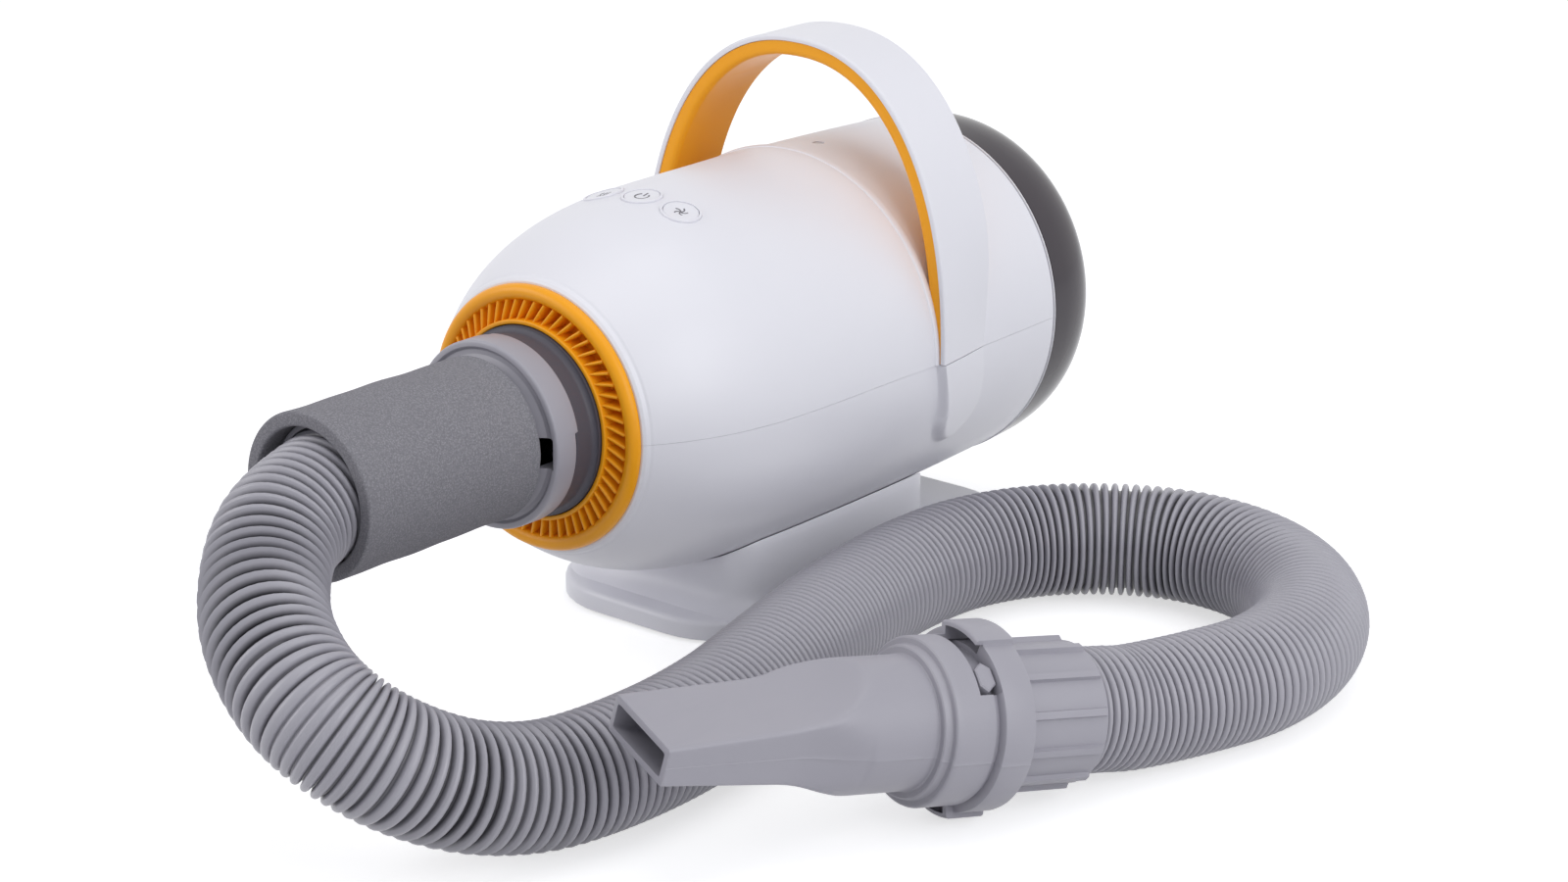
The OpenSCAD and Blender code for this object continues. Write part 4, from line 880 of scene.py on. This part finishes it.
body = {
    "wideR": 83.0,
    "noseDrop": 25.0,
    "noseLength": 121.0,
    "nosePower": 3.7,
    "tailDrop": 3.0,
    "tailLength": 137.0,
    "widestY": -45.0,
    "wall": 2.8,
    "lipY": 1.5,
    "lipRise": 0.8,
    "lipLap": 7.0,  # how far the rear shell runs on under the lip
    "lapGap": 0.12,
    "beadRise": 0.75,  # rounded bead along the raised lip
    "beadHalf": 2.0,
    "noseBead": (165.0, 0.9, 0.35),  # place, half width and height of the bead round the outlet
    "noseGroove": (163.2, 0.8, -0.3),
    "partingGap": 0.05,
    "frontRound": 0.8,
    "rearRound": 0.7,
    "lens": (19.3, 2.72, 70.0, 95.0),  # place, radius, and heights of the status lens's hole
}
widestY = body["widestY"]
rearY = widestY + body["tailLength"]


def skinRadius(y):
    if y < widestY:
        share = (widestY - y) / body["noseLength"]
        return body["wideR"] - body["noseDrop"] * share ** body["nosePower"]
    return body["wideR"] - body["tailDrop"] * ((y - widestY) / body["tailLength"]) ** 2


def lipFlare(y):
    if y < widestY:
        return 0.0
    rise = body["lipRise"] * ((y - widestY) / (body["lipY"] - widestY)) ** 2
    away = min(abs(y - body["lipY"] + body["beadHalf"]) / body["beadHalf"], 1.0)
    return rise + body["beadRise"] * sqrt(1.0 - away ** 2)


def noseBead(y):
    # low bead and groove round the outlet, so that the rim reads as a fine line
    return sum(rise * smoothStep(0, 1, max(1.0 - abs(y + place) / half, 0.0))
               for place, half, rise in (body["noseBead"], body["noseGroove"]))


noseYs = [widestY - body["noseLength"] * sqrt(1 - i / 34) for i in range(35)]
noseYs = places(noseYs[0], noseYs[3], 0.3) + noseYs[4:]

tab = {
    "top": 110.0,
    "front": -0.7,
    "width": 36.0,
    "shift": 5.5,
    "centre": 84.0,
    "radius": 87.25,
    "blends": (1.5, 5.5),  # soft edge at the top, and this far below it
    "blendHeight": 36,
    "rearBlend": 36.0,
}


def tabRise(y, z):
    # the tab that carries the handle: a clear front wall, fading to nothing behind
    half = tab["width"] / 2
    slope = tab["shift"] / (tab["top"] - tab["centre"])
    middle = tab["front"] + half + slope * (tab["top"] - max(z, tab["centre"]))
    depth = half - hypot(y - middle, max(tab["centre"] - z, 0.0))
    if depth <= 0:
        return 0.0
    sharp, soft = tab["blends"]
    blend = sharp + (soft - sharp) * smoothStep(0, tab["blendHeight"], tab["top"] - z)
    return smoothStep(0, blend, depth) * min((middle + half - y) / tab["rearBlend"], 1.0)


def shellRing(outer, inner, front=None, rear=None):
    # closed section of a shell, with its outer front and rear corners rounded where given
    for end, rounding in ((0, front), (-1, rear)):
        if rounding:
            outer[end] = (*outer[end][:2], rounding)
    return filleted(outer + inner)


def wallBehind(ys):
    return [(skinRadius(y) - body["wall"], y, 0.0) for y in reversed(ys)]


def makeLowerHousing():
    ys = list(noseYs)
    for low, high, step in ((widestY, -4, 4.0), (-4, 8, 0.35), (8, 44, 1.2), (44, rearY, 4.0)):
        ys += places(low, high, step)[1:]
    outer = [(skinRadius(y) + noseBead(y), y, 0.0) for y in ys]
    # the wall's places stand opposite every third one of the skin
    ring = shellRing(outer, [(r - body["wall"], y, 0.0) for r, y, _ in reversed(outer[::3])],
                     body["frontRound"], body["rearRound"])
    gap = body["partingGap"]
    degs = places(180 + gap, 214, 0.5) + places(214, 326, 3.0)[1:] + places(326, 360 - gap, 0.5)[1:]
    points = []
    for deg in degs:
        for r, y in ring:
            if r > skinRadius(y) - 0.5:
                z = axisHeight + r * sin(radians(deg))
                r += (tab["radius"] - r) * tabRise(y, z)
            points.append(turnedPoint(r, y, deg))
    addPiece("lowerShell", ringSolid(points, len(ring)), "whiteShell", 28.0, ["lower_housing"])


buttons = {
    "y": -100.0,
    "step": 15.4,
    "cap": 7.7,
    "capTop": 0.3,
    "capRound": 0.55,
    "dish": 0.32,
    "dishRadii": (0.0, 0.8, 1.6, 2.4, 3.2, 4.0, 4.8, 5.5, 6.1, 6.6),
    "skirt": (8.5, -3.3, -4.6),  # radius, top and underside of the flange that holds a cap
    "stemRadius": 2.0,
    "stem": {-1: 6.9, 0: 9.6, 1: 6.9},
    "rim": (7.9, 9.0),
    "hole": (9.12, -8.0, 9.0),  # radius, from, to
    "names": {-1: "heat", 0: "power", 1: "airflow"},
    "iconRise": 0.1,
    "iconSize": 1.22,
    "strokes": {-1: 0.2, 0: 0.34, 1: 0.3},
}


def buttonPlace(i):
    tilt = atan((skinRadius(buttons["y"] + 1) - skinRadius(buttons["y"] - 1)) / 2)
    return (
        Matrix.Translation((0, buttons["y"], axisHeight))
        @ Matrix.Rotation(radians(buttons["step"] * i), 4, "Y")
        @ Matrix.Translation((0, 0, skinRadius(buttons["y"])))
        @ Matrix.Rotation(tilt, 4, "X")
    )


def turnedAt(place):
    def put(r, along, deg):
        a = radians(deg)
        return place @ Vector((r * cos(a), r * sin(a), along))

    return put


def drill(radius, low, high, place, sides=64):
    put = turnedAt(place)
    points = [put(radius, along, 360.0 * k / sides) for along in (low, high) for k in range(sides)]
    return ringSolid(points, sides)


def makeUpperHousing():
    gap, lipY = body["partingGap"], body["lipY"]
    beadStart, lap = lipY - 2 * body["beadHalf"], lipY - body["lipLap"]
    ys = noseYs + places(widestY, beadStart, 1.5)[1:] + places(beadStart, lipY, 0.2)[1:]
    outer = [(skinRadius(y) + lipFlare(y) + noseBead(y), y, 0.0) for y in ys]
    inner = [(skinRadius(y) + body["lapGap"], y, rounding) for y, rounding in ((lipY, 0.2), (lap, 0.0))]
    ring = shellRing(outer, inner + wallBehind([y for y in ys[::2] if y < lap]), body["frontRound"])
    piece = addPiece("upperShell", turnedSolid(ring, gap, 180 - gap, 1.5), "whiteShell", 28.0,
                     ["upper_housing"])
    holes = [drill(*buttons["hole"], buttonPlace(i)) for i in buttons["names"]]
    cutAway(piece, 28.0, joined(holes))
    ys = places(lap, rearY, 3.0)
    ring = shellRing([(skinRadius(y), y, 0.0) for y in ys], wallBehind(ys[::2]),
                     rear=body["rearRound"])
    piece = addPiece("rearShell", turnedSolid(ring, gap, 180 - gap, 1.5), "whiteShell", 28.0,
                     ["rear_housing"])
    lensY, lensR, low, high = body["lens"]
    cutAway(piece, 28.0, drill(lensR, low, high, Matrix.Translation((0, lensY, axisHeight)), 40))


makeLowerHousing()
makeUpperHousing()
print("housing made")


def capHeight(r):
    # dished top of a button cap
    b = buttons
    return -b["dish"] + (b["dish"] + b["capTop"]) * smoothStep(0.0, b["cap"] - 0.9, r)


def ribbonSolid(path, half, place):
    # narrow raised line on a button's cap, along points given as (across, along)
    points, rise = [], buttons["iconRise"]
    for i, (x, y) in enumerate(path):
        before, after = path[max(i - 1, 0)], path[min(i + 1, len(path) - 1)]
        ahead = Vector((after[0] - before[0], after[1] - before[1])).normalized()
        for side, lifts in ((-half, (-0.3, rise)), (half, (rise, -0.3))):
            px, py = x - ahead.y * side, y + ahead.x * side
            low = capHeight(hypot(px, py))
            points += [place @ Vector((px, py, low + lift)) for lift in lifts]
    return ringSolid(points, 4)


def powerIcon():
    return [arcPath((0, 0), 2.5, 128, 412, 30), [(0.0, 0.7), (0.0, 1.9), (0.0, 3.2)]]


def airflowIcon():
    blades = []
    for k in range(5):
        c, s = cos(radians(72 * k + 18)), sin(radians(72 * k + 18))
        blade = arcPath((0.95, 1.1), 1.45, -128, -15, 8)
        blades.append([(x * c - y * s, x * s + y * c) for x, y in blade])
    return blades


def heatIcon():
    return [[(x + 0.45 * sin(k * 0.55), -2.1 + 0.35 * k) for k in range(13)]
            for x in (-1.6, 0.0, 1.6)]


def makeButtons():
    b = buttons
    icons = {-1: heatIcon, 0: powerIcon, 1: airflowIcon}
    skirt, skirtTop, skirtLow = b["skirt"]
    rimInner, rimOuter = b["rim"]
    for i, name in b["names"].items():
        place, end, key = buttonPlace(i), -b["stem"][i], name + "_key"
        put = turnedAt(place)
        edge = filleted([
            (b["cap"] - 1.0, b["capTop"], 0.0), (b["cap"], b["capTop"], b["capRound"]),
            (b["cap"], skirtTop, 0.1), (skirt, skirtTop, 0.3), (skirt, skirtLow, 0.3),
            (b["stemRadius"], skirtLow, 0.2), (b["stemRadius"], end, 0.4),
        ])
        ring = [(r, capHeight(r)) for r in b["dishRadii"]] + edge[1:] + [(0.0, end)]
        addPiece(name + "Cap", turnedSolid(ring, stepDeg=5.0, place=put), "whiteShell", 30.0,
                 [name + "_button"], key)
        rim = filleted([(rimInner, -3.0, 0.1), (rimOuter, -3.0, 0.1), (rimOuter, 0.62, 0.4),
                        (rimInner, 0.55, 0.3)])
        addPiece(name + "Rim", turnedSolid(rim, stepDeg=4.0, place=put), "whiteShell", 40.0,
                 [name + "_bezel"])
        size = b["iconSize"]
        strokes = [ribbonSolid([(x * size, y * size) for x, y in path], b["strokes"][i], place)
                   for path in icons[i]()]
        addPiece(name + "Icon", joined(strokes), "iconInk", 35.0, (), key)


makeButtons()
print("buttons made")

handle = {
    "halfWidth": 87.4,
    "rise": 133.6,
    "power": 2.23,
    "shell": 2.6,
    "liner": 6.8,
    "frontY": -0.7,
    "width": 36.0,
    "frontLean": 0.012,
    "rearLean": 0.019,
    "edge": 0.6,
    "frontRound": 3.4,
    "rearRound": 1.6,
    "footGap": 0.2,
    "footTuck": 0.012,
    "rings": 56,  # along half of the bow
    "crowding": 1.35,
    "sinkHeight": 60.0,  # below it the rear side sinks towards the body's skin
    "skinGap": 0.35,
}


def handlePoint(inset, across, deg, edge, lift):
    # a point on the bow: inset from its outer face, across from its front (0) to its rear (1)
    h = handle
    a = radians(deg)
    c, s = cos(a), max(sin(a), 0.0)
    height = (h["rise"] - inset) * s ** (2 / h["power"]) + lift
    front = h["frontY"] + h["frontLean"] * height + edge
    rear = h["frontY"] + h["width"] + h["rearLean"] * height - edge
    y = front + (rear - front) * across
    sink = across * (1 - smoothStep(0.0, h["sinkHeight"], height))
    wide = h["halfWidth"] - (h["halfWidth"] - skinRadius(y) - h["skinGap"]) * sink - inset
    return (copysign(wide * abs(c) ** (2 / h["power"]), c), y, axisHeight + height)


def handleDegs():
    # closer together near the feet and round the shoulders of the arch
    h = handle
    first = degrees(asin((h["footGap"] / h["rise"]) ** (h["power"] / 2)))
    half = [first + (90 - first) * (k / h["rings"]) ** h["crowding"] for k in range(h["rings"] + 1)]
    return half + [180 - d for d in reversed(half[:-1])]


def sweptBow(ring, edge, footRound):
    degs = handleDegs()
    insets = [p[0] for p in ring]
    middle = (min(insets) + max(insets)) / 2
    points = []
    for i, deg in enumerate([degs[0]] + degs + [degs[-1]]):
        tight = i in (0, len(degs) + 1)
        lift = footRound if i in (1, len(degs)) else 0.0
        for inset, across in ring:
            if tight:
                inset += copysign(min(footRound, abs(middle - inset)), middle - inset)
                across += copysign(handle["footTuck"], 0.5 - across)
            points.append(handlePoint(inset, across, deg, edge, lift))
    return ringSolid(points, len(ring))


def bowRing(corners, steps, pieces):
    # divides the long sides of a rounded section, so that the sunken rear side is smooth
    width = handle["width"]
    ring = [(inset, across / width) for inset, across in filleted(corners, steps)]
    out = []
    for here, following in zip(ring, ring[1:] + ring[:1]):
        out += between(here, following, max(1, int(round(abs(following[1] - here[1]) * pieces))))
    return out


def makeHandle():
    h = handle
    width, shell = h["width"], h["shell"]
    bow = bowRing([(0.0, 0.0, 1.3), (0.0, width, 1.0), (shell, width, 0.5), (shell, 0.0, 0.5)], 6, 14)
    evenNormals(addPiece("handleBow", sweptBow(bow, 0.0, 0.35), "whiteShell", 40.0, ["handle_shell"]))
    top, low = shell + 0.1, shell + h["liner"]
    grip = bowRing([(top, 0.0, 0.4), (top, width, 0.4), (low, width, h["rearRound"]),
                    (low, 0.0, h["frontRound"])], 7, 10)
    piece = addPiece("handleGrip", sweptBow(grip, h["edge"], 0.3), "amberTrim", 40.0,
                     ["handle_liner"])
    # the grip ends on the body's skin
    lipY, gap = body["lipY"], body["lapGap"]
    ys = places(widestY, 60, 3.0)
    outline = [(skinRadius(y) + (lipFlare(y) if y <= lipY else 0.0) + gap, y) for y in ys]
    outline = [(0.0, ys[0])] + outline + [(0.0, ys[-1])]
    cutAway(piece, 40.0, turnedSolid(outline, stepDeg=1.5))
    evenNormals(piece)


makeHandle()
print("handle made")

foot = {
    "plate": (60.0, 110.0, 40.0),  # half width, half length, corner radius
    "plateTop": 10.2,
    "plateRound": 2.5,
    "padTop": 1.2,
    "recess": 5.9,
    "recessTop": 3.25,
    "pedestal": (50.0, 68.0, 16.0),
    "pedestalY": -24.0,
    "flareGrow": 7.0,
    "flareTop": 21.2,
    "flarePower": 2.3,
    "wall": 3.0,
    "saddleInsets": (3.0, 9.0, 16.0, 24.0, 32.0, 40.0, 46.0),
    "bodyGap": 0.38,
    "gland": (41.0, 50.0, 19.5, 8.4, 5.08),  # from, to, height, boss radius, hole radius
}


def roundedLoop(halfWidth, halfLength, corner, midY, straights=(10, 14)):
    # the same number of points whatever the size, so that loops can be joined
    corner = max(corner, 0.3)
    wide, long = halfWidth - corner, halfLength - corner
    centres = ((wide, midY + long), (-wide, midY + long), (-wide, midY - long), (wide, midY - long))
    bends = [arcPath(centre, corner, 90 * i, 90 * (i + 1), 9) for i, centre in enumerate(centres)]
    out = []
    for i, bend in enumerate(bends):
        out += bend[:-1] + between(bend[-1], bends[(i + 1) % 4][0], straights[i % 2])
    return out


def saddleHeight(x, y, lower=0.0):
    # underside of the body above a point of the pedestal
    r = skinRadius(y) + foot["bodyGap"] + lower
    return axisHeight - sqrt(r ** 2 - x ** 2)


def footPoints():
    # loops from inside the pedestal, round the plate's edge and up to the saddle under the body
    f = foot
    pedW, pedL, pedR = f["pedestal"]
    plateW, plateL, plateR = f["plate"]
    top, bend, wall, recess, flareTop = (
        f[key] for key in ("plateTop", "plateRound", "wall", "recess", "flareTop"))

    def pedestal(grow, height):
        loop = roundedLoop(pedW + grow, pedL + grow, pedR + grow, f["pedestalY"])
        return [(x, y, height(x, y)) for x, y in loop]

    def plate(inset, z):
        return [(x, y, z) for x, y in roundedLoop(plateW - inset, plateL - inset, plateR - inset, 0.0)]

    out = []
    for inset in reversed(f["saddleInsets"]):
        out += pedestal(-inset, lambda x, y: saddleHeight(x, y, wall))
    out += pedestal(-wall, lambda x, y: f["recessTop"])
    out += plate(recess, f["recessTop"]) + plate(recess, f["padTop"])
    out += plate(0.4, f["padTop"]) + plate(0.0, f["padTop"] + 0.4) + plate(0.0, top - bend - 1.0)
    for k in range(7):
        a = radians(15 * k)
        out += plate(bend * (1 - cos(a)), top - bend * (1 - sin(a)))
    for k in range(11):
        share = k / 10
        grow = 0.02 + (f["flareGrow"] - 0.02) * (1 - share) ** f["flarePower"]
        out += pedestal(grow, lambda x, y: top + 0.02 + (flareTop - top) * share)
    for share in (0.25, 0.5, 0.75, 1.0):
        out += pedestal(0.0, lambda x, y: flareTop + (saddleHeight(x, y) - 0.7 - flareTop) * share)
    out += pedestal(-0.2, lambda x, y: saddleHeight(x, y) - 0.2)
    for inset in (0.8, *f["saddleInsets"]):
        out += pedestal(-inset, saddleHeight)
    return out, len(plate(0.0, 0.0))


def makeFoot():
    points, sides = footPoints()
    piece = addPiece("footShell", ringSolid(points, sides), "whiteShell", 30.0, ["foot"])
    start, end, height, bossR, holeR = foot["gland"]
    atGland = Matrix.Translation((0, 0, height)) @ Matrix.Rotation(radians(-90), 4, "X")
    cutAway(piece, 30.0, drill(holeR, start - 4, end, atGland, 48))
    boss = filleted([(holeR, start + 2.5, 0.0), (bossR + 0.9, start + 2.5, 0.0),
                     (bossR, start + 3.8, 0.6), (bossR, end, 0.8), (holeR, end, 0.4)])
    addPiece("glandBoss", turnedSolid(boss, stepDeg=5.0, place=turnedAt(atGland)), "whiteShell", 35.0)


makeFoot()
print("foot made")

rear = {
    "radius": 80.0,
    "start": 93.4,
    "depth": 50.0,
    "power": 3.5,
    "wall": 2.4,
    "spigot": 76.9,
    "spigotWall": 2.0,
    "spigotStart": 84.0,
    "slots": 24,
    "slotRadii": (24.0, 48.0),
    "slotWidth": 3.2,
    "slotSpan": (22, 54),  # behind the cover's start
    "trim": (92.55, 93.3),
    "trimRadii": (77.3, 80.1, 80.45),  # inner, at its edges, at its crown
    "groove": (78.4, 1.1),  # radius and width of the groove behind the trim
}


def domeProfile(radius, depth, steps=28):
    out = []
    for k in range(steps):
        a = radians(90 * k / steps)
        out.append((radius * cos(a) ** (2 / rear["power"]),
                    rear["start"] + depth * sin(a) ** (2 / rear["power"])))
    return out + [(0.0, rear["start"] + depth)]


def slotSolid(deg):
    # slot with round ends, through the back of the dome
    inner, outer = rear["slotRadii"]
    half = rear["slotWidth"] / 2
    bends = np.linspace(-pi / 2, pi / 2, 7)
    outline = [(outer - half + half * cos(t), half * sin(t)) for t in bends]
    outline += [(inner + half - half * cos(t), -half * sin(t)) for t in bends]
    points = [turnedPoint(r, rear["start"] + behind, deg, across)
              for behind in rear["slotSpan"] for r, across in outline]
    return ringSolid(points, len(outline))


def makeRear():
    r = rear
    radius, start, spigot, spigotStart = r["radius"], r["start"], r["spigot"], r["spigotStart"]
    inner = spigot - r["spigotWall"]
    grooveR, grooveWidth = r["groove"]
    ring = [(inner, spigotStart), (spigot - 0.4, spigotStart), (spigot, spigotStart + 0.4),
            (spigot, start), (grooveR, start), (grooveR, start + grooveWidth),
            (radius - 0.35, start + grooveWidth)]
    ring += [p for p in domeProfile(radius, r["depth"]) if p[1] > start + grooveWidth + 0.3]
    ring += reversed(domeProfile(inner, r["depth"] - r["wall"]))
    piece = addPiece("rearDome", turnedSolid(ring), "smokeCover", 35.0, ["rear_cover"], "rear_cap")
    cutAway(piece, 35.0, joined([slotSolid(360.0 * k / r["slots"]) for k in range(r["slots"])]))
    low, high = r["trim"]
    seat, edge, crown = r["trimRadii"]
    band = filleted([(seat, low, 0.1), (edge, low, 0.2), (crown, (low + high) / 2, 0.0),
                     (edge, high, 0.2), (seat, high, 0.1)])
    addPiece("trimBand", turnedSolid(band), "paleTrim", 40.0, ["trim_ring"])


makeRear()
print("rear end made")

nozzle = {
    "mouthHalf": (20.87, 7.75),
    "taper": (-0.0156, 0.074),  # growth of the half width and half height along the spout
    "spread": (6.5, 55.0, 95.0),  # extra half width, and between which places it comes in
    "scoop": (50.0, 0.00725),
    "shoulder": (86.0, 0.6),
    "neck": 26.0,
    "neckSpan": (92.0, 111.0),  # where the close angles leave the corner for the round neck
    "walls": (2.8, 1.6),
    "lipRound": 0.5,
    "spoutEnd": 112.0,
    "cornerDeg": 20.4,
    "cornerMost": 66.0,
    "cornerPower": (20.0, 12.0, 60.0, 85.0),  # power, what it gains, and between which places
    "cornerNear": (-6.0, -3.6, -2.2, -1.2, -0.5, 0.3, 1.2, 2.4, 4.2),
    "length": 153.2,
    "bridgeDegs": ((62.0, 99.5), (242.0, 279.5)),
    "windowDegs": ((92.0, 133.5), (272.0, 313.5)),
    "entryDegs": ((66.0, 97.0), (246.0, 277.0)),
    "window": (130.6, 139.0),
    "windowInner": 28.0,
    "entryRadius": 36.1,
    "mouldLines": (0.0, 180.0),
    "lineRise": 0.16,
    # place along the nozzle, radius, and radius on a bridge
    "socket": [
        (114.0, 26.0, 26.0), (114.9, 26.1, 26.1), (115.3, 26.5, 26.5), (115.4, 28.6, 28.6),
        (115.8, 29.2, 29.2), (116.6, 29.5, 29.5), (118.2, 29.7, 29.7), (118.6, 30.0, 30.0),
        (118.7, 31.9, 31.9), (119.1, 32.5, 32.5), (119.8, 32.8, 32.8), (121.6, 32.8, 32.8),
        (135.5, 32.8, 32.8), (135.6, 32.8, 36.6), (135.9, 32.8, 37.5), (136.5, 32.8, 38.0),
        (137.0, 31.8, 38.1), (138.6, 31.8, 38.1), (138.8, 35.2, 38.1), (139.1, 35.7, 38.1),
        (139.7, 35.9, 38.1), (151.9, 35.9, 38.1), (152.7, 35.7, 37.9), (153.2, 35.0, 37.2),
    ],
    "bore": [(153.2, 31.0), (152.8, 30.6), (122.5, 30.6), (117.4, 25.4), (114.0, 24.4)],
}


def spoutHalves(along):
    # half width and half height of the flat part, which scoops up to the round neck
    n = nozzle
    grow, low, high = n["spread"]
    (start, rate), (shoulder, flare) = n["scoop"], n["shoulder"]
    wide = n["mouthHalf"][0] + n["taper"][0] * along + grow * smoothStep(low, high, along)
    tall = n["mouthHalf"][1] + n["taper"][1] * along + rate * max(along - start, 0.0) ** 2
    return wide + flare * max(along - shoulder, 0.0), tall


def spoutDeg(along, deg):
    # moves the angles of a section so that close ones follow its corner
    wide, tall = spoutHalves(along)
    neck, base = nozzle["neck"], nozzle["cornerDeg"]
    flat = hypot(wide, tall) < neck
    corner = degrees(atan2(tall, wide) if flat else asin(min(tall / neck, 1.0)))
    corner = min(corner, nozzle["cornerMost"])
    corner += (base - corner) * smoothStep(*nozzle["neckSpan"], along)
    quarter = round(deg / 180.0) * 180.0
    size = abs(deg - quarter)
    moved = size * corner / base
    if size >= base:
        moved = 90.0 - (90.0 - size) * (90.0 - corner) / (90.0 - base)
    return quarter + copysign(moved, deg - quarter)


def spoutRadius(along, deg, shrink):
    # a high power keeps the corners of the flat part tight
    wide, tall = spoutHalves(along)
    a = radians(deg)
    least, gain, low, high = nozzle["cornerPower"]
    power = least + gain * smoothStep(low, high, along)
    total = (nozzle["neck"] - shrink) ** -power
    total += (abs(cos(a)) / (wide - shrink)) ** power + (abs(sin(a)) / (tall - shrink)) ** power
    return total ** (-1 / power)


def makeNozzle():
    n = nozzle
    bend = n["lipRound"]
    spout = [0.0, 0.15, 0.5, 1.2, 4.0]
    for low, high, step in ((10, 50, 10.0), (52, 76, 2.0), (77, 93, 1.0), (95, n["spoutEnd"], 1.7)):
        spout += places(low, high, step)
    edges = []
    for base in (0, 180):
        edges.append((base + n["cornerDeg"], n["cornerNear"]))
        edges.append((base - n["cornerDeg"], [-offset for offset in n["cornerNear"]]))
    edges += [(deg, (-0.9, -0.45, 0.0, 0.45, 0.9)) for pair in n["bridgeDegs"] for deg in pair]
    edges += [(deg, (-0.5, -0.25, 0.0, 0.25, 0.5)) for deg in n["mouldLines"]]
    degs = angleList(3.0, edges)
    points = []
    for deg in degs:
        share = max(bandShare(deg, low + 0.5, high - 0.5, 0.7) for low, high in n["bridgeDegs"])
        line = n["lineRise"] * max(bandShare(deg, at - 0.05, at + 0.05, 0.4) for at in n["mouldLines"])
        for along in spout:
            turned = spoutDeg(along, deg)
            shrink = bend * (1 - sqrt(1 - (1 - min(along / bend, 1.0)) ** 2))
            points.append(nozzlePoint(spoutRadius(along, turned, shrink) + line, along, turned))
        for along, plain, bridged in n["socket"]:
            points.append(nozzlePoint(plain + (bridged - plain) * share + line, along, deg))
        for along, r in n["bore"]:
            points.append(nozzlePoint(r, along, deg))
        for along in reversed(spout):
            turned = spoutDeg(along, deg)
            wall = n["walls"][0] + (n["walls"][1] - n["walls"][0]) * along / n["spoutEnd"]
            points.append(nozzlePoint(spoutRadius(along, turned, wall), along, turned))
    piece = addPiece("flatNozzle", loopSolid(points, len(points) // len(degs)), "greyPlastic", 30.0,
                     ["nozzle"], "nozzle_body")
    radii, (low, high) = (n["windowInner"], n["entryRadius"]), n["window"]
    windows = [sectorSolid(radii, pair, (low, high), nozzlePoint) for pair in n["windowDegs"]]
    entries = [sectorSolid(radii, pair, (low, n["length"] + 1), nozzlePoint) for pair in n["entryDegs"]]
    cutAway(piece, 30.0, joined(windows), joined(entries))


makeNozzle()
print("nozzle made")

studio = {
    "sky": (0.93, 0.95, 1.0),
    "skyStrength": 0.50,
    "floorTone": (0.68, 0.68, 0.69),
    "floorGlow": 0.62,
    "floorReach": 6.0,
    "floorHeight": -0.0004,
    "lamps": {
        # name: place, aimed at, width, height, power, tint
        "overhead": ((0.35, -0.15, 1.75), (0.0, -0.08, 0.1), 1.7, 1.5, 7.6, (1.0, 0.99, 0.97)),
        "leftFront": ((-1.25, -1.35, 0.95), (0.0, -0.1, 0.1), 1.2, 1.2, 11.4, (1.0, 0.99, 0.98)),
        "rightSide": ((1.7, -0.25, 0.9), (0.05, -0.05, 0.08), 1.3, 1.3, 12.5, (0.98, 0.99, 1.0)),
    },
}


def seenDirectly(tree):
    # light path, and 1 for what the camera or a reflection sees
    path = addNode(tree, "LightPath")
    either = addNode(tree, "Math", operation="MAXIMUM")
    wire(tree, (path, "Is Camera Ray", either, 0), (path, "Is Glossy Ray", either, 1))
    return path, either


def makeWorld():
    # a soft pale sky lights the object; what the camera and reflections see is white
    world = bpy.context.scene.world or bpy.data.worlds.new("studio")
    bpy.context.scene.world = world
    world.use_nodes = True
    tree = world.node_tree
    tree.nodes.clear()
    path, either = seenDirectly(tree)
    through = addNode(tree, "Math", operation="MAXIMUM")
    glow = addNode(tree, "Background",
                   {"Color": (*studio["sky"], 1.0), "Strength": studio["skyStrength"]})
    paper = addNode(tree, "Background", {"Color": (1, 1, 1, 1), "Strength": 1.0})
    mix = addNode(tree, "MixShader")
    out = addNode(tree, "OutputWorld")
    wire(tree, (either, "Value", through, 0), (path, "Is Transmission Ray", through, 1),
         (through, "Value", mix, 0), (glow, "Background", mix, 1), (paper, "Background", mix, 2),
         (mix, "Shader", out, "Surface"))


def makeFloor():
    mesh = bpy.data.meshes.new("studioFloor")
    reach = studio["floorReach"]
    corners = [(-reach, -reach, 0), (reach, -reach, 0), (reach, reach, 0), (-reach, reach, 0)]
    mesh.from_pydata(corners, [], [(0, 1, 2, 3)])
    floor = addObject("studioFloor", mesh)
    floor.location.z = studio["floorHeight"]
    material = bpy.data.materials.new("paperFloor")
    material.use_nodes = True
    tree = material.node_tree
    tree.nodes.clear()
    path, either = seenDirectly(tree)
    strength = addNode(tree, "Math", {1: studio["floorGlow"]}, operation="MULTIPLY")
    matt = addNode(tree, "BsdfDiffuse", {"Color": (*studio["floorTone"], 1.0)})
    lit = addNode(tree, "Emission", {"Color": (1, 1, 1, 1)})
    add = addNode(tree, "AddShader")
    out = addNode(tree, "OutputMaterial")
    wire(tree, (either, "Value", strength, 0), (strength, "Value", lit, "Strength"),
         (matt, "BSDF", add, 0), (lit, "Emission", add, 1), (add, "Shader", out, "Surface"))
    mesh.materials.append(material)


def makeLamps():
    for name, (place, aim, width, height, power, tint) in studio["lamps"].items():
        light = bpy.data.lights.new(name, "AREA")
        light.shape = "RECTANGLE"
        light.size, light.size_y = width, height
        light.energy = power
        light.color = tint
        lamp = addObject(name, light)
        lamp.location = place
        lamp.rotation_euler = (Vector(aim) - Vector(place)).to_track_quat("-Z", "Y").to_euler()
        lamp.visible_camera = False


makeWorld()
makeFloor()
makeLamps()
print("studio made")
